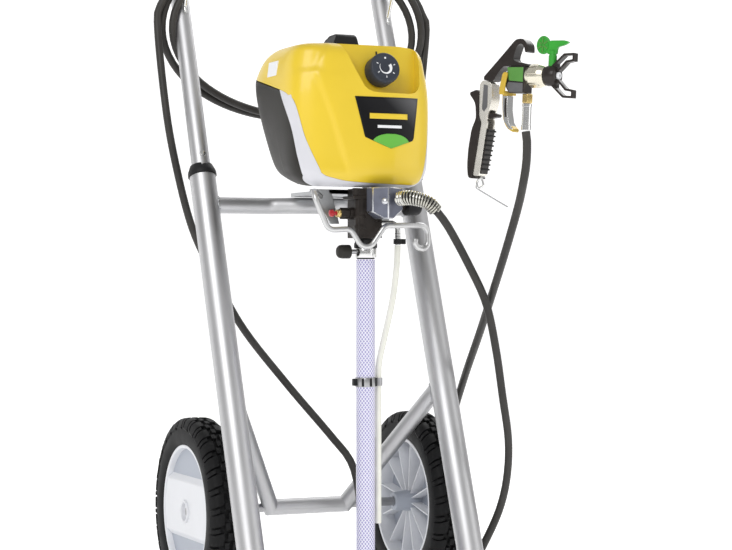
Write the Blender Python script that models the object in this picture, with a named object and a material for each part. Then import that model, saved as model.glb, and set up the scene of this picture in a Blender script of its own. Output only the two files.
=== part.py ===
"""Airless paint sprayer on a two-wheel cart, with its suction hose, return tube, paint hose and spray gun.

Metres, +Z up. The machine's front faces -Y and the wheels are at the back. Every dimension below is in the
cart's own axes, whose origin is on the floor midway between the two feet; the empty "machine" then moves
the whole model so that its origin is at the bottom centre of its bounding box.
"""

import math

import bmesh
import bpy
from mathutils import Matrix, Vector

GAP = 0.0003
ORIGIN_Y = 0.07817

# Cart frame
TRACK = 0.3054
LEAN = math.radians(20.84)
LEG_RADIUS = 0.0175
LEG_BORE = 0.0153
LEG_TOP = 0.6115
FOOT_TOP = 0.034
COLLAR_HEIGHT = 0.015
HANDLE_RADIUS = 0.0125
HANDLE_BOTTOM = 0.40
HANDLE_TOP = 1.12
HANDLE_BEND = 0.055
GRIP_RADIUS = 0.0165
GRIP_HALF = 0.085
HOOK_FOOT = 0.858
HOOK_WIRE = 0.003
BUTTON_AT = 0.640
BUTTON_RADIUS = 0.004
BAR_RADIUS = 0.011
CROSSBAR_HEIGHT = 0.533
BRACE_HEIGHT = 0.296
BRACE_HALF = 0.0545

# Wheels
WHEEL_RADIUS = 0.125
WHEEL_Y = 0.218
RIM_RADIUS = 0.089
RIM_INSIDE = 0.141
RIM_OUTSIDE = 0.178
TYRE_INSIDE = 0.137
TYRE_OUTSIDE = 0.182
HUB_OUTSIDE = 0.186
AXLE_RADIUS = 0.006
AXLE_HALF = 0.180

# Pump unit
HOUSING_REACH = 0.12
COVER_EDGE = [
    (0.25, 0.7044), (0.18, 0.7004), (0.0730, 0.6778), (0.0480, 0.6690), (0.0400, 0.6630), (0.0400, 0.6000),
    (0.0300, 0.5600), (0.0300, 0.50),
]
CASE_EDGE = [
    (0.0735, 0.6768), (0.0440, 0.6307), (0.0330, 0.5880), (0.0315, 0.5665), (0.0375, 0.5560), (0.0375, 0.50),
]
COVER_FRONT = [
    (-0.1250, 0.6700), (-0.0985, 0.6660), (-0.0935, 0.6600), (-0.0830, 0.6144), (-0.0665, 0.5761),
    (-0.0615, 0.5680), (-0.0480, 0.5635), (-0.0170, 0.5590), (0.0690, 0.5565), (0.0775, 0.5620),
    (0.0820, 0.5800), (0.0868, 0.6050), (0.0905, 0.6350), (0.0940, 0.6560), (0.0985, 0.6660), (0.1250, 0.6700),
    (0.1250, 0.80), (-0.1250, 0.80),
]
LID_HALF = 0.0185
PUMP_X = 0.006
PUMP_Y = 0.038
BLOCK_TOP = 0.5515
BLOCK_BOTTOM = 0.487
GEAR_HEIGHT = 0.640
PINION_RISE = 0.0345
SUCTION_TOP = 0.460
SUCTION_BOTTOM = 0.052
SUCTION_RADIUS = 0.0122
TUBE_RADIUS = 0.004
KNOB_AT = (0.0235, 0.0380, 0.7005)
RECESS_BASE = (0.0, 0.0315, 0.669)
KNOB_TILT = math.radians(12)
KNOB_RADIUS = 0.0204
BUTTON_HEIGHT = 0.519
PRIME_AT = (0.058, 0.030, 0.530)

# Paint hose: the points of its two free runs, and the coil between them
HOSE_RADIUS = 0.0052
COIL_CENTRE = (0.012, 0.780)
COIL_HALF = (0.195, 0.123)
COIL_Y = 0.304
COIL_LEAN = -0.12
COIL_THICK = (0.0125, 0.0095)
PUMP_RUN = (
    (0.0700, -0.0403, 0.5203), (0.0860, -0.0400, 0.5010), (0.1170, -0.0350, 0.4540),
    (0.1450, -0.0300, 0.4040), (0.1670, -0.0150, 0.3450), (0.1850, 0.0000, 0.2810),
    (0.2040, 0.0200, 0.2240), (0.2120, 0.0380, 0.1750), (0.2110, 0.0560, 0.1300),
    (0.1980, 0.0720, 0.0850), (0.1730, 0.0750, 0.0450), (0.1350, 0.0800, 0.0170),
    (0.0950, 0.0980, 0.0120), (0.0640, 0.1220, 0.0300), (0.0530, 0.1450, 0.0800),
    (0.0520, 0.1600, 0.1350), (0.0440, 0.1700, 0.1850), (0.0190, 0.1850, 0.2230),
    (-0.0360, 0.2100, 0.2940), (-0.0900, 0.2350, 0.3700), (-0.1270, 0.2500, 0.4440),
    (-0.1540, 0.2570, 0.5050), (-0.1740, 0.2640, 0.5870), (-0.1870, 0.2700, 0.6680),
    (-0.1930, 0.2760, 0.7300), (-0.1940, 0.2790, 0.7650),
)
GUN_RUN = (
    (0.1126, -0.1959, 0.6125), (0.1138, -0.1910, 0.5920), (0.1225, -0.1750, 0.5650),
    (0.1320, -0.1400, 0.5230), (0.1410, -0.0900, 0.4690), (0.1540, -0.0300, 0.4160),
    (0.1720, 0.0400, 0.3640), (0.1890, 0.1100, 0.3130), (0.2010, 0.1600, 0.2730),
    (0.2080, 0.1950, 0.2400), (0.2160, 0.2300, 0.2250), (0.2250, 0.2620, 0.2400),
    (0.2300, 0.2800, 0.2800), (0.2240, 0.2860, 0.3500), (0.2120, 0.2860, 0.4230),
    (0.2020, 0.2860, 0.4810), (0.1910, 0.2850, 0.5530), (0.1920, 0.2810, 0.6250),
    (0.1990, 0.2780, 0.6900), (0.2070, 0.2760, 0.7450),
)
ROUTE_POINTS = 40

# Spray gun, in the axes of the empty "gun": X towards the nozzle, Z up, origin on the barrel above its tube
GUN_AT = (0.1145, -0.1990, 0.6790)
GUN_HEADING = math.radians(-59)
GUN_PITCH = math.radians(3)
TRIGGER_PIVOT = (-0.0265, 0.0, 0.0010)
LOCK_PIVOT = (-0.0520, 0.0, -0.0475)
TIP_X = 0.0325


def material(name, colour, roughness, metallic=0.0):
    made = bpy.data.materials.new(name)
    made.use_nodes = True
    shader = made.node_tree.nodes["Principled BSDF"]
    shader.inputs["Base Color"].default_value = (*colour, 1.0)
    shader.inputs["Roughness"].default_value = roughness
    shader.inputs["Metallic"].default_value = metallic
    return made


def turned(profile, sides=24, closed=False):
    """Mesh turned about Z from (radius, height) points. A closed profile makes a ring."""
    mesh = bmesh.new()
    rings = []
    for radius, height in profile:
        if radius == 0:
            rings.append([mesh.verts.new((0, 0, height))] * sides)
            continue
        angles = [2 * math.pi * i / sides for i in range(sides)]
        rings.append([mesh.verts.new((radius * math.cos(a), radius * math.sin(a), height)) for a in angles])
    pairs = list(zip(rings, rings[1:]))
    if closed:
        pairs.append((rings[-1], rings[0]))
    for lower, upper in pairs:
        for i in range(sides):
            j = (i + 1) % sides
            mesh.faces.new(list(dict.fromkeys([lower[i], lower[j], upper[j], upper[i]])))
    return mesh


def rod(radius, low, high, sides=16):
    return turned([(0, low), (radius, low), (radius, high), (0, high)], sides)


def pipe(radius, bore, low, high, sides=16):
    return turned([(bore, low), (radius, low), (radius, high), (bore, high)], sides, closed=True)


def prism(outline, low, high):
    """The outline's (x, z) points extruded along Y from low to high."""
    mesh = bmesh.new()
    front = [mesh.verts.new((x, low, z)) for x, z in outline]
    back = [mesh.verts.new((x, high, z)) for x, z in outline]
    mesh.faces.new(front)
    mesh.faces.new(back[::-1])
    for i, corner in enumerate(front):
        j = (i + 1) % len(front)
        mesh.faces.new((corner, back[i], back[j], front[j]))
    return mesh


def block(low, high, edge=0.0):
    (x0, y0, z0), (x1, y1, z1) = low, high
    mesh = prism([(x0, z0), (x1, z0), (x1, z1), (x0, z1)], y0, y1)
    if edge:
        bmesh.ops.bevel(mesh, geom=mesh.edges[:], offset=edge, segments=1, affect="EDGES")
    return mesh


def loft(sections):
    """Closed mesh through rings of points that all have the same number of points."""
    mesh = bmesh.new()
    rings = [[mesh.verts.new(point) for point in ring] for ring in sections]
    for lower, upper in zip(rings, rings[1:]):
        for i, corner in enumerate(lower):
            j = (i + 1) % len(lower)
            mesh.faces.new((corner, lower[j], upper[j], upper[i]))
    mesh.faces.new(rings[0][::-1])
    mesh.faces.new(rings[-1])
    return mesh


def moved(mesh, place=(0, 0, 0), turn=None):
    if turn is not None:
        bmesh.ops.transform(mesh, matrix=turn, verts=mesh.verts[:])
    bmesh.ops.translate(mesh, vec=place, verts=mesh.verts[:])
    return mesh


def along_x(mesh, place=(0, 0, 0)):
    return moved(mesh, place, Matrix.Rotation(math.pi / 2, 4, "Y"))


def along_y(mesh, place=(0, 0, 0)):
    """Turns the mesh so that its +Z points to the front, -Y."""
    return moved(mesh, place, Matrix.Rotation(math.pi / 2, 4, "X"))


def rounded(points, radius, steps=4):
    """The path with each inner corner replaced by an arc of the given radius."""
    points = [Vector(p) for p in points]
    path = [points[0]]
    for before, corner, after in zip(points, points[1:], points[2:]):
        arrive = (corner - before).normalized()
        leave = (after - corner).normalized()
        half = arrive.angle(leave) / 2
        reach = radius * math.tan(half)
        start, end = corner - arrive * reach, corner + leave * reach
        centre = corner + (leave - arrive).normalized() * radius / math.cos(half)
        for i in range(steps + 1):
            spoke = (start - centre).lerp(end - centre, i / steps).normalized()
            path.append(centre + spoke * radius)
    path.append(points[-1])
    return path


def smooth_route(points, count):
    """A smooth curve through the points, read off at evenly spaced places."""
    knots = [Vector(p) for p in points]
    knots = [knots[0] * 2 - knots[1]] + knots + [knots[-1] * 2 - knots[-2]]
    fine = []
    for a, b, c, d in zip(knots, knots[1:], knots[2:], knots[3:]):
        for i in range(20):
            t = i / 20
            bend = (2 * a - 5 * b + 4 * c - d) * t**2 + (3 * b - a - 3 * c + d) * t**3
            fine.append(0.5 * (2 * b + (c - a) * t + bend))
    fine.append(knots[-2])
    lengths = [0.0]
    for before, after in zip(fine, fine[1:]):
        lengths.append(lengths[-1] + (after - before).length)
    route, place = [], 0
    for i in range(count):
        goal = lengths[-1] * i / (count - 1)
        while place < len(fine) - 2 and lengths[place + 1] < goal:
            place += 1
        share = (goal - lengths[place]) / (lengths[place + 1] - lengths[place])
        route.append(fine[place].lerp(fine[place + 1], share))
    return route


def tube(points, radius, resolution=4):
    """A curve with a round section along the points. Its section has 4 + 2 * resolution sides."""
    curve = bpy.data.curves.new("tube", "CURVE")
    curve.dimensions = "3D"
    curve.bevel_depth = radius
    curve.bevel_resolution = resolution
    curve.use_fill_caps = True
    line = curve.splines.new("POLY")
    line.points.add(len(points) - 1)
    for point, place in zip(line.points, points):
        point.co = (*place, 1.0)
    return curve


def solid_tube(points, radius, resolution=4):
    """The same tube as a mesh, for pieces that a Boolean cuts or joins."""
    helper = bpy.data.objects.new("helper", tube(points, radius, resolution))
    bpy.context.scene.collection.objects.link(helper)
    bpy.context.view_layer.update()
    data = bpy.data.meshes.new_from_object(helper.evaluated_get(bpy.context.evaluated_depsgraph_get()))
    bpy.data.objects.remove(helper)
    mesh = bmesh.new()
    mesh.from_mesh(data)
    bmesh.ops.remove_doubles(mesh, verts=mesh.verts[:], dist=1e-6)
    return mesh


def empty(name, parent, at=(0, 0, 0), turn=(0, 0, 0)):
    made = bpy.data.objects.new(name, None)
    bpy.context.scene.collection.objects.link(made)
    made.parent = parent
    made.location = at
    made.rotation_euler = turn
    return made


def as_mesh(name, shape):
    bmesh.ops.recalc_face_normals(shape, faces=shape.faces[:])
    data = bpy.data.meshes.new(name)
    shape.to_mesh(data)
    shape.free()
    data.shade_smooth()
    data.set_sharp_from_angle(angle=math.radians(35))
    return data


def part(name, shape, finish, parent, at=(0, 0, 0), turn=(0, 0, 0)):
    """A named object from a mesh or a curve, placed under its parent."""
    data = shape if isinstance(shape, bpy.types.Curve) else as_mesh(name, shape)
    made = bpy.data.objects.new(name, data)
    bpy.context.scene.collection.objects.link(made)
    made.parent = parent
    made.location = at
    made.rotation_euler = turn
    data.materials.append(finish)
    return made


def shape_with(target, operation, shape):
    """Adds a Boolean to the target, with the shape as a hidden helper beside it."""
    helper = part(f"{target.name}_{operation.lower()}", shape, target.data.materials[0], target.parent)
    helper.location = target.location
    helper.rotation_euler = target.rotation_euler
    helper.hide_render = True
    helper.display_type = "WIRE"
    boolean = target.modifiers.new(operation.title(), "BOOLEAN")
    boolean.operation = operation
    boolean.object = helper
    return target


def cut(target, shape):
    return shape_with(target, "DIFFERENCE", shape)


def join(target, shape):
    return shape_with(target, "UNION", shape)


def build_legs(tilt, finish):
    """Two leaning lower tubes with rubber feet and a keyed collar on top."""
    for side, x in (("left", -TRACK / 2), ("right", TRACK / 2)):
        leg = pipe(LEG_RADIUS, LEG_BORE, FOOT_TOP, LEG_TOP, 20)
        part(f"leg_{side}", leg, finish["aluminium"], tilt, (x, 0, 0))
        outline = [
            (0, -0.030), (0.0195, -0.030), (0.0205, 0.0), (0.0192, FOOT_TOP - GAP), (0, FOOT_TOP - GAP),
        ]
        foot = part(f"foot_{side}", turned(outline, 20), finish["black_rubber"], tilt, (x, 0, 0))
        below_floor = block((-0.06, -0.06, -0.06), (0.06, 0.06, 0.0))
        cut(foot, moved(below_floor, turn=Matrix.Rotation(LEAN, 4, "X")))
        low, high = LEG_TOP + GAP, LEG_TOP + COLLAR_HEIGHT
        bore = HANDLE_RADIUS + GAP
        outline = [(bore, low), (0.0192, low), (0.0188, low + 0.006), (0.0152, high), (bore, high)]
        ring = turned(outline, 20, closed=True)
        collar = part(f"collar_{side}", ring, finish["black_plastic"], tilt, (x, 0, 0))
        keyway = block((-0.0048, -0.0160, low - 0.01), (0.0048, 0.0, high + 0.01))
        cut(collar, keyway)


def handle_path():
    corners = [
        (-TRACK / 2, 0, HANDLE_BOTTOM),
        (-TRACK / 2, 0, HANDLE_TOP),
        (TRACK / 2, 0, HANDLE_TOP),
        (TRACK / 2, 0, HANDLE_BOTTOM),
    ]
    return rounded(corners, HANDLE_BEND, 6)


def build_handle(tilt, finish):
    """The telescopic push handle with its foam grip, two hose hooks and two snap buttons."""
    handle = part("handle_tube", solid_tube(handle_path(), HANDLE_RADIUS, 6), finish["aluminium"], tilt)
    hollows = bmesh.new()
    for x in (-TRACK / 2, TRACK / 2):
        bore = along_y(rod(BUTTON_RADIUS + GAP, 0.002, 0.030, 12), (x, 0, BUTTON_AT))
        merge(hollows, bore)
    cut(handle, hollows)
    grip = pipe(GRIP_RADIUS, HANDLE_RADIUS + GAP, -GRIP_HALF, GRIP_HALF, 20)
    part("handle_grip", along_x(grip), finish["black_rubber"], tilt, (0, 0, HANDLE_TOP))
    for side, x in (("left", -TRACK / 2), ("right", TRACK / 2)):
        front = -HANDLE_RADIUS - HOOK_WIRE - GAP
        wire = [
            (0, front, -0.010), (0, front, 0.0), (0, -0.050, 0.030), (0, -0.066, 0.048),
            (0, -0.064, 0.078),
        ]
        part(
            f"hose_hook_{side}", tube(rounded(wire, 0.010), HOOK_WIRE, 2), finish["chrome"], tilt,
            (x, 0, HOOK_FOOT),
        )
        outline = [
            (0, -0.003), (BUTTON_RADIUS, -0.003), (BUTTON_RADIUS, 0.0014), (0.003, 0.0020), (0, 0.0020),
        ]
        pin = turned(outline, 12)
        part(
            f"lock_button_{side}", along_y(pin), finish["chrome"], tilt,
            (x, -HANDLE_RADIUS, BUTTON_AT),
        )


def merge(target, extra):
    """Adds the extra mesh's faces to the target mesh."""
    data = bpy.data.meshes.new("extra")
    extra.to_mesh(data)
    target.from_mesh(data)
    extra.free()
    bpy.data.meshes.remove(data)
    return target


def build_bars(cart, finish):
    """The bowed upper crossbar, and the lower brace whose middle carries the axle."""
    lean = math.tan(LEAN)
    inset = (LEG_RADIUS + 0.001) / math.cos(math.pi / 20)
    x = TRACK / 2 - inset
    back = CROSSBAR_HEIGHT * lean
    bar = [
        (-x, back, CROSSBAR_HEIGHT), (-0.058, back, CROSSBAR_HEIGHT), (-0.030, back - 0.024, CROSSBAR_HEIGHT),
        (0.030, back - 0.024, CROSSBAR_HEIGHT), (0.058, back, CROSSBAR_HEIGHT), (x, back, CROSSBAR_HEIGHT),
    ]
    part("crossbar", tube(rounded(bar, 0.030), BAR_RADIUS, 5), finish["aluminium"], cart)
    start = Vector((TRACK / 2, BRACE_HEIGHT * lean, BRACE_HEIGHT))
    corner = Vector((BRACE_HALF, WHEEL_Y, WHEEL_RADIUS))
    reach = (corner - start).normalized()
    axis = Vector((0, math.sin(LEAN), math.cos(LEAN)))
    slant = math.sqrt(1 - reach.dot(axis) ** 2)
    start += reach * (LEG_RADIUS + BAR_RADIUS * 0.9) / slant
    right = [start, corner]
    left = [Vector((-p.x, p.y, p.z)) for p in right]
    bent = solid_tube([left[0], left[1], right[1], right[0]], BAR_RADIUS, 5)
    brace = part("lower_brace", bent, finish["aluminium"], cart)
    cut(brace, along_x(rod(AXLE_RADIUS + GAP, -0.15, 0.15, 12), (0, WHEEL_Y, WHEEL_RADIUS)))
    axle = along_x(rod(AXLE_RADIUS, -AXLE_HALF, AXLE_HALF, 12))
    part("axle", axle, finish["steel"], cart, (0, WHEEL_Y, WHEEL_RADIUS))


def build_wheels(cart, finish):
    """Moulded rims with a hub boss each side, and block-tread tyres."""
    bore = AXLE_RADIUS + GAP
    rim = [
        (bore, 0.128), (0.0125, 0.128), (0.0145, 0.150), (0.0145, 0.166), (0.080, 0.166), (0.081, RIM_INSIDE),
        (RIM_RADIUS, RIM_INSIDE), (RIM_RADIUS, RIM_OUTSIDE), (0.084, RIM_OUTSIDE), (0.080, 0.172),
        (0.0145, 0.174), (0.0145, HUB_OUTSIDE), (bore, HUB_OUTSIDE),
    ]
    tyre = [
        (RIM_RADIUS + GAP, 0.1405), (0.098, 0.1375), (0.110, TYRE_INSIDE), (0.119, 0.1395), (0.1245, 0.1455),
        (WHEEL_RADIUS, 0.1595), (0.1245, 0.1735), (0.119, 0.1795), (0.110, TYRE_OUTSIDE), (0.098, 0.1815),
        (RIM_RADIUS + GAP, 0.1785),
    ]
    for side, sign in (("left", -1), ("right", 1)):
        hub = empty(f"wheel_{side}", cart, (0, WHEEL_Y, WHEEL_RADIUS))
        for name, outline, look in (("rim", rim, "white_plastic"), ("tyre", tyre, "tyre_rubber")):
            shape = turned([(radius, sign * place) for radius, place in outline], 36, closed=True)
            part(f"{name}_{side}", along_x(shape), finish[look], hub)


def housing_section(height, half_width, front, back, rise=0.0, taper=0.0, power=4.6, count=28):
    """A rounded rectangle at this height, which rises and narrows towards the back."""
    middle, half_depth = (front + back) / 2, (back - front) / 2
    ring = []
    for i in range(count):
        angle = 2 * math.pi * (i + 0.5) / count
        c, s = math.cos(angle), math.sin(angle)
        y = middle + half_depth * math.copysign(abs(s) ** (2 / power), s)
        narrowing = 1 - taper * (y - front) / (back - front)
        x = narrowing * half_width * math.copysign(abs(c) ** (2 / power), c)
        ring.append((x, y, height + rise * (y - front)))
    return ring


def housing():
    return loft([
        housing_section(0.5525, 0.0780, 0.0300, 0.120, 0.09, 0.22),
        housing_section(0.5580, 0.0880, 0.0210, 0.142, 0.085, 0.22),
        housing_section(0.5700, 0.0960, 0.0150, 0.157, 0.05, 0.20),
        housing_section(0.5900, 0.0995, 0.0130, 0.168, 0.02, 0.17),
        housing_section(0.6300, 0.1005, 0.0120, 0.184, 0.0, 0.10),
        housing_section(0.6650, 0.1005, 0.0125, 0.195, 0.0, 0.04),
        housing_section(0.6880, 0.0985, 0.0140, 0.200),
        housing_section(0.7020, 0.0965, 0.0165, 0.200),
        housing_section(0.7220, 0.0920, 0.0210, 0.178),
        housing_section(0.7330, 0.0840, 0.0300, 0.148),
        housing_section(0.7370, 0.0700, 0.0430, 0.122),
    ])


def side_prism(outline):
    """The (y, z) outline extruded across the whole housing."""
    swap_x_and_y = Matrix(((0, 1, 0, 0), (1, 0, 0, 0), (0, 0, 1, 0), (0, 0, 0, 1)))
    return moved(prism(outline, -HOUSING_REACH, HOUSING_REACH), turn=swap_x_and_y)


def machine_room():
    """The hollow inside the shells: the motor's room, the crank's pocket and the piston's shaft."""
    room = block((-0.064, 0.052, 0.582), (0.064, 0.140, 0.706))
    pocket = block((PUMP_X - 0.031, 0.033, 0.600), (PUMP_X + 0.031, 0.060, 0.672))
    shaft = moved(rod(0.0070, 0.530, 0.620, 16), (PUMP_X, PUMP_Y, 0))
    return room, pocket, shaft


def build_housing(cart, finish):
    """Front cover, middle band and rear case: three shells around the motor, cut from one outer form."""
    cover = COVER_EDGE + [(-0.05, 0.50), (-0.05, 0.80), (0.25, 0.80)]
    case = [(0.25, 0.50), (0.25, 0.7040), (0.18, 0.7000)] + CASE_EDGE
    before_case = [(y - 0.0004, z) for y, z in CASE_EDGE]
    band = before_case[:1] + [(0.0720, 0.70), (-0.05, 0.70), (-0.05, 0.50)] + before_case[:0:-1]
    shells = {"front_cover": "yellow_plastic", "middle_band": "grey_plastic", "rear_case": "dark_plastic"}
    for name, look in shells.items():
        shell = part(name, housing(), finish[look], cart)
        if name == "front_cover":
            shape_with(shell, "INTERSECT", side_prism(cover))
            shape_with(shell, "INTERSECT", prism(COVER_FRONT, -0.10, 0.30))
        else:
            shape_with(shell, "INTERSECT", side_prism(case if name == "rear_case" else band))
            cut(shell, side_prism([(y + GAP, z - GAP) for y, z in cover]))
            cover_space = shell.modifiers[-1].object
            front = prism([(x * 1.004, z - GAP) for x, z in COVER_FRONT], -0.10, 0.30)
            shape_with(cover_space, "INTERSECT", front)
        for hollow in machine_room():
            cut(shell, hollow)
        if name == "front_cover":
            recess = block((-0.031, -0.060, 0.0), (0.080, 0.0, 0.090))
            cut(shell, moved(recess, RECESS_BASE, Matrix.Rotation(-KNOB_TILT, 4, "X")))
            spindle = along_y(rod(0.0055, -0.012, 0.030, 12))
            cut(shell, moved(spindle, KNOB_AT, Matrix.Rotation(-KNOB_TILT, 4, "X")))
    lid = [(0.086, 0.7376), (0.092, 0.752), (0.100, 0.7565), (0.124, 0.755), (0.136, 0.7376)]
    across = side_prism(lid)
    bmesh.ops.scale(across, vec=(LID_HALF / HOUSING_REACH, 1, 1), verts=across.verts[:])
    part("carry_lid", across, finish["black_plastic"], cart)


def build_drive(cart, finish):
    """Motor, pinion, reduction gear with its eccentric, and the piston that it drives."""
    pinion_height = GEAR_HEIGHT + PINION_RISE
    outline = [
        (0, 0), (0.022, 0), (0.026, 0.004), (0.026, 0.066), (0.022, 0.070), (0, 0.070),
    ]
    can = along_y(turned(outline, 20))
    part("motor", can, finish["steel"], cart, (PUMP_X, 0.137, pinion_height))
    outline = [
        (0, 0), (0.0030, 0), (0.0030, 0.003), (0.0055, 0.003), (0.0055, 0.012), (0, 0.012),
    ]
    teeth = along_y(turned(outline, 16))
    part("motor_pinion", teeth, finish["steel"], cart, (PUMP_X, 0.0665, pinion_height))
    outline = [
        (0, 0), (0.0285, 0), (0.0285, 0.009), (0.006, 0.009), (0.006, 0.014), (0, 0.014),
    ]
    gear = along_y(turned(outline, 28))
    drive = part("drive_gear", gear, finish["grey_plastic"], cart, (PUMP_X, 0.0635, GEAR_HEIGHT))
    join(drive, along_y(rod(0.0085, 0.012, 0.028, 16), (0, 0, 0.003)))
    rod_top = GEAR_HEIGHT - 0.0121
    part("piston", rod(0.005, 0.0, rod_top - 0.545, 12), finish["chrome"], cart, (PUMP_X, PUMP_Y, 0.545))


def build_pump(cart, finish):
    """Pump block with its outlet, pusher, prime valve, return fitting and suction side."""
    body = block((-0.018, 0.020, BLOCK_BOTTOM), (0.022, 0.058, BLOCK_TOP), 0.002)
    pump = part("pump_block", body, finish["black_metal"], cart)
    cut(pump, moved(rod(0.0054, 0.530, 0.560, 12), (PUMP_X, PUMP_Y, 0)))

    ridge, left, right = (0.0147, -0.0140), (-0.0010, 0.0000), (0.0415, 0.0000)
    plan = [ridge, left, (left[0], 0.0197), (right[0], 0.0197), right]
    wedge = loft([[(x, y, z) for x, y in plan] for z in (0.505, BLOCK_TOP)])
    outlet = part("outlet_block", wedge, finish["blue_grey_metal"], cart)
    shield = [(-0.01, 0.56), (-0.01, 0.527), (0.010, 0.5115), (0.024, 0.5115), (0.05, 0.5300), (0.05, 0.56)]
    shape_with(outlet, "INTERSECT", prism(shield, -0.03, 0.03))

    guard = [
        (0.0297, -0.0126, 0.5370), (0.0400, -0.0290, 0.5375), (0.0570, -0.0390, 0.5320),
        (0.0690, -0.0402, 0.5215),
    ]
    part("spring_guard", tube(smooth_route(guard, 10), 0.0085, 4), finish["spring_steel"], cart)

    stem = turned([(0, 0), (0.0075, 0), (0.0075, 0.0150), (0.0050, 0.0165), (0.0050, 0.0170), (0, 0.0170)], 6)
    stem = moved(stem, (-0.0183, PUMP_Y, BUTTON_HEIGHT), Matrix.Rotation(-math.pi / 2, 4, "Y"))
    pusher = part("pusher_body", stem, finish["black_metal"], cart)
    socket = rod(0.0031, 0.004, 0.030, 12)
    socket = moved(socket, (-0.0183, PUMP_Y, BUTTON_HEIGHT), Matrix.Rotation(-math.pi / 2, 4, "Y"))
    cut(pusher, socket)
    outline = [
        (0, -0.0120), (0.0027, -0.0120), (0.0027, 0), (0.0045, 0), (0.0048, 0.0015), (0.0042, 0.0050),
        (0, 0.0055),
    ]
    button = turned(outline, 14)
    button = moved(button, turn=Matrix.Rotation(-math.pi / 2, 4, "Y"))
    part("pusher_button", button, finish["red_plastic"], cart, (-0.0395, PUMP_Y, BUTTON_HEIGHT))

    x, y, z = PRIME_AT
    outline = [
        (0, 0), (0.0085, 0), (0.0085, 0.012), (0.006, 0.014), (0.006, x - 0.0223 - GAP),
        (0, x - 0.0223 - GAP),
    ]
    valve = along_x(turned(outline, 12))
    part("prime_valve", valve, finish["black_metal"], cart, (0.0223, y, z))
    outline = [
        (0, 0), (0.0125, 0), (0.0135, 0.004), (0.0125, 0.019), (0.010, 0.021), (0, 0.021),
    ]
    grip = along_x(turned(outline, 16))
    prime = part("prime_knob", grip, finish["black_plastic"], cart, PRIME_AT)
    join(prime, block((0.003, -0.005, 0.0), (0.018, 0.005, 0.0185), 0.001))

    elbow = [(0.0228, 0.040, 0.507), (0.0505, 0.036, 0.507), (0.0505, 0.036, 0.4790)]
    part("return_fitting", tube(rounded(elbow, 0.008), TUBE_RADIUS, 4), finish["chrome"], cart)
    drop = [
        (0.0505, 0.0360, 0.4785), (0.0490, 0.0360, 0.4500), (0.0435, 0.0365, 0.4080), (0.0330, 0.0375, 0.3620),
        (0.0255, 0.0380, 0.3300), (0.0240, 0.0380, 0.3080), (0.0240, 0.0380, 0.2000), (0.0240, 0.0380, 0.1200),
    ]
    part("return_tube", tube(smooth_route(drop, 16), TUBE_RADIUS, 4), finish["clear_tube"], cart)


def build_suction(cart, finish):
    """The suction side hanging below the pump block, down to the strainer in the paint bucket."""
    axis = (PUMP_X, PUMP_Y, 0)
    nut = [
        (0, 0.4605), (0.0118, 0.4605), (0.0118, 0.4745), (0.0145, 0.4745), (0.0150, 0.4800),
        (0.0130, 0.4867), (0, 0.4867),
    ]
    part("suction_nut", turned(nut, 16), finish["black_plastic"], cart, axis)
    band = pipe(0.0140, 0.0121, 0.4622, 0.4742, 24)
    ring = part("suction_clamp", band, finish["black_plastic"], cart, axis)
    outline = [
        (0, 0.0135), (0.0030, 0.0135), (0.0030, 0.0235), (0.0085, 0.0245), (0.0085, 0.034),
        (0.005, 0.0400), (0, 0.0400),
    ]
    wing = turned(outline, 12)
    join(ring, moved(wing, (0, 0, 0.4700), Matrix.Rotation(-math.pi / 2, 4, "Y")))
    outline = [
        (0, SUCTION_BOTTOM), (SUCTION_RADIUS, SUCTION_BOTTOM), (SUCTION_RADIUS, SUCTION_TOP),
        (0, SUCTION_TOP),
    ]
    hose = turned(outline, 20)
    part("suction_hose", hose, finish["clear_hose"], cart, axis)
    cup = [
        (0, 0.014), (0.0190, 0.014), (0.0190, 0.040), (0.0130, 0.0460), (0.0130, SUCTION_BOTTOM - GAP),
        (0, SUCTION_BOTTOM - GAP),
    ]
    part("strainer", turned(cup, 20), finish["black_plastic"], cart, axis)
    low, high = 0.2965, 0.3085
    clip = part("hose_clip", pipe(0.0136, SUCTION_RADIUS + GAP, low, high, 24), finish["chrome"], cart, axis)
    loop = pipe(TUBE_RADIUS + 0.0013, TUBE_RADIUS + GAP, low + 0.001, high - 0.001, 16)
    join(clip, moved(loop, (0.0240 - PUMP_X, 0, 0)))


def build_brackets(cart, finish):
    """The plate that bolts the pump to the crossbar, and the wire hook that holds the paint bucket."""
    plate = block((-0.060, 0.060, 0.5446), (0.072, 0.192, 0.5506))
    bracket = part("mount_bracket", plate, finish["aluminium"], cart)
    arm = [(-0.058, 0.5460), (-0.032, 0.5460), (-0.021, 0.5060), (-0.034, 0.5060)]
    mirrored = [(2 * PUMP_X - x, z) for x, z in arm]
    for outline in (arm, mirrored):
        join(bracket, prism(outline, 0.0600, 0.0630))
    wire = [
        (-0.0500, 0.0550, 0.5410), (-0.0796, 0.0120, 0.5480), (-0.0586, 0.0100, 0.5010),
        (-0.0236, 0.0100, 0.5035), (-0.0046, 0.0060, 0.4740), (0.0234, 0.0060, 0.5065),
        (0.0700, 0.0100, 0.5065), (0.0840, 0.0100, 0.4880), (0.0694, 0.0100, 0.4740),
    ]
    part("bucket_hook", tube(rounded(wire, 0.007), HOOK_WIRE, 3), finish["chrome"], cart)


def build_pressure_knob(cart, finish):
    body = [
        (0, -0.008), (0.005, -0.008), (0.005, 0.0025), (KNOB_RADIUS, 0.0025), (KNOB_RADIUS, 0.0225),
        (KNOB_RADIUS - 0.003, 0.0255), (0, 0.0255),
    ]
    part("pressure_knob", along_y(turned(body, 28)), finish["knob_plastic"], cart, KNOB_AT, (-KNOB_TILT, 0, 0))


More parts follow.
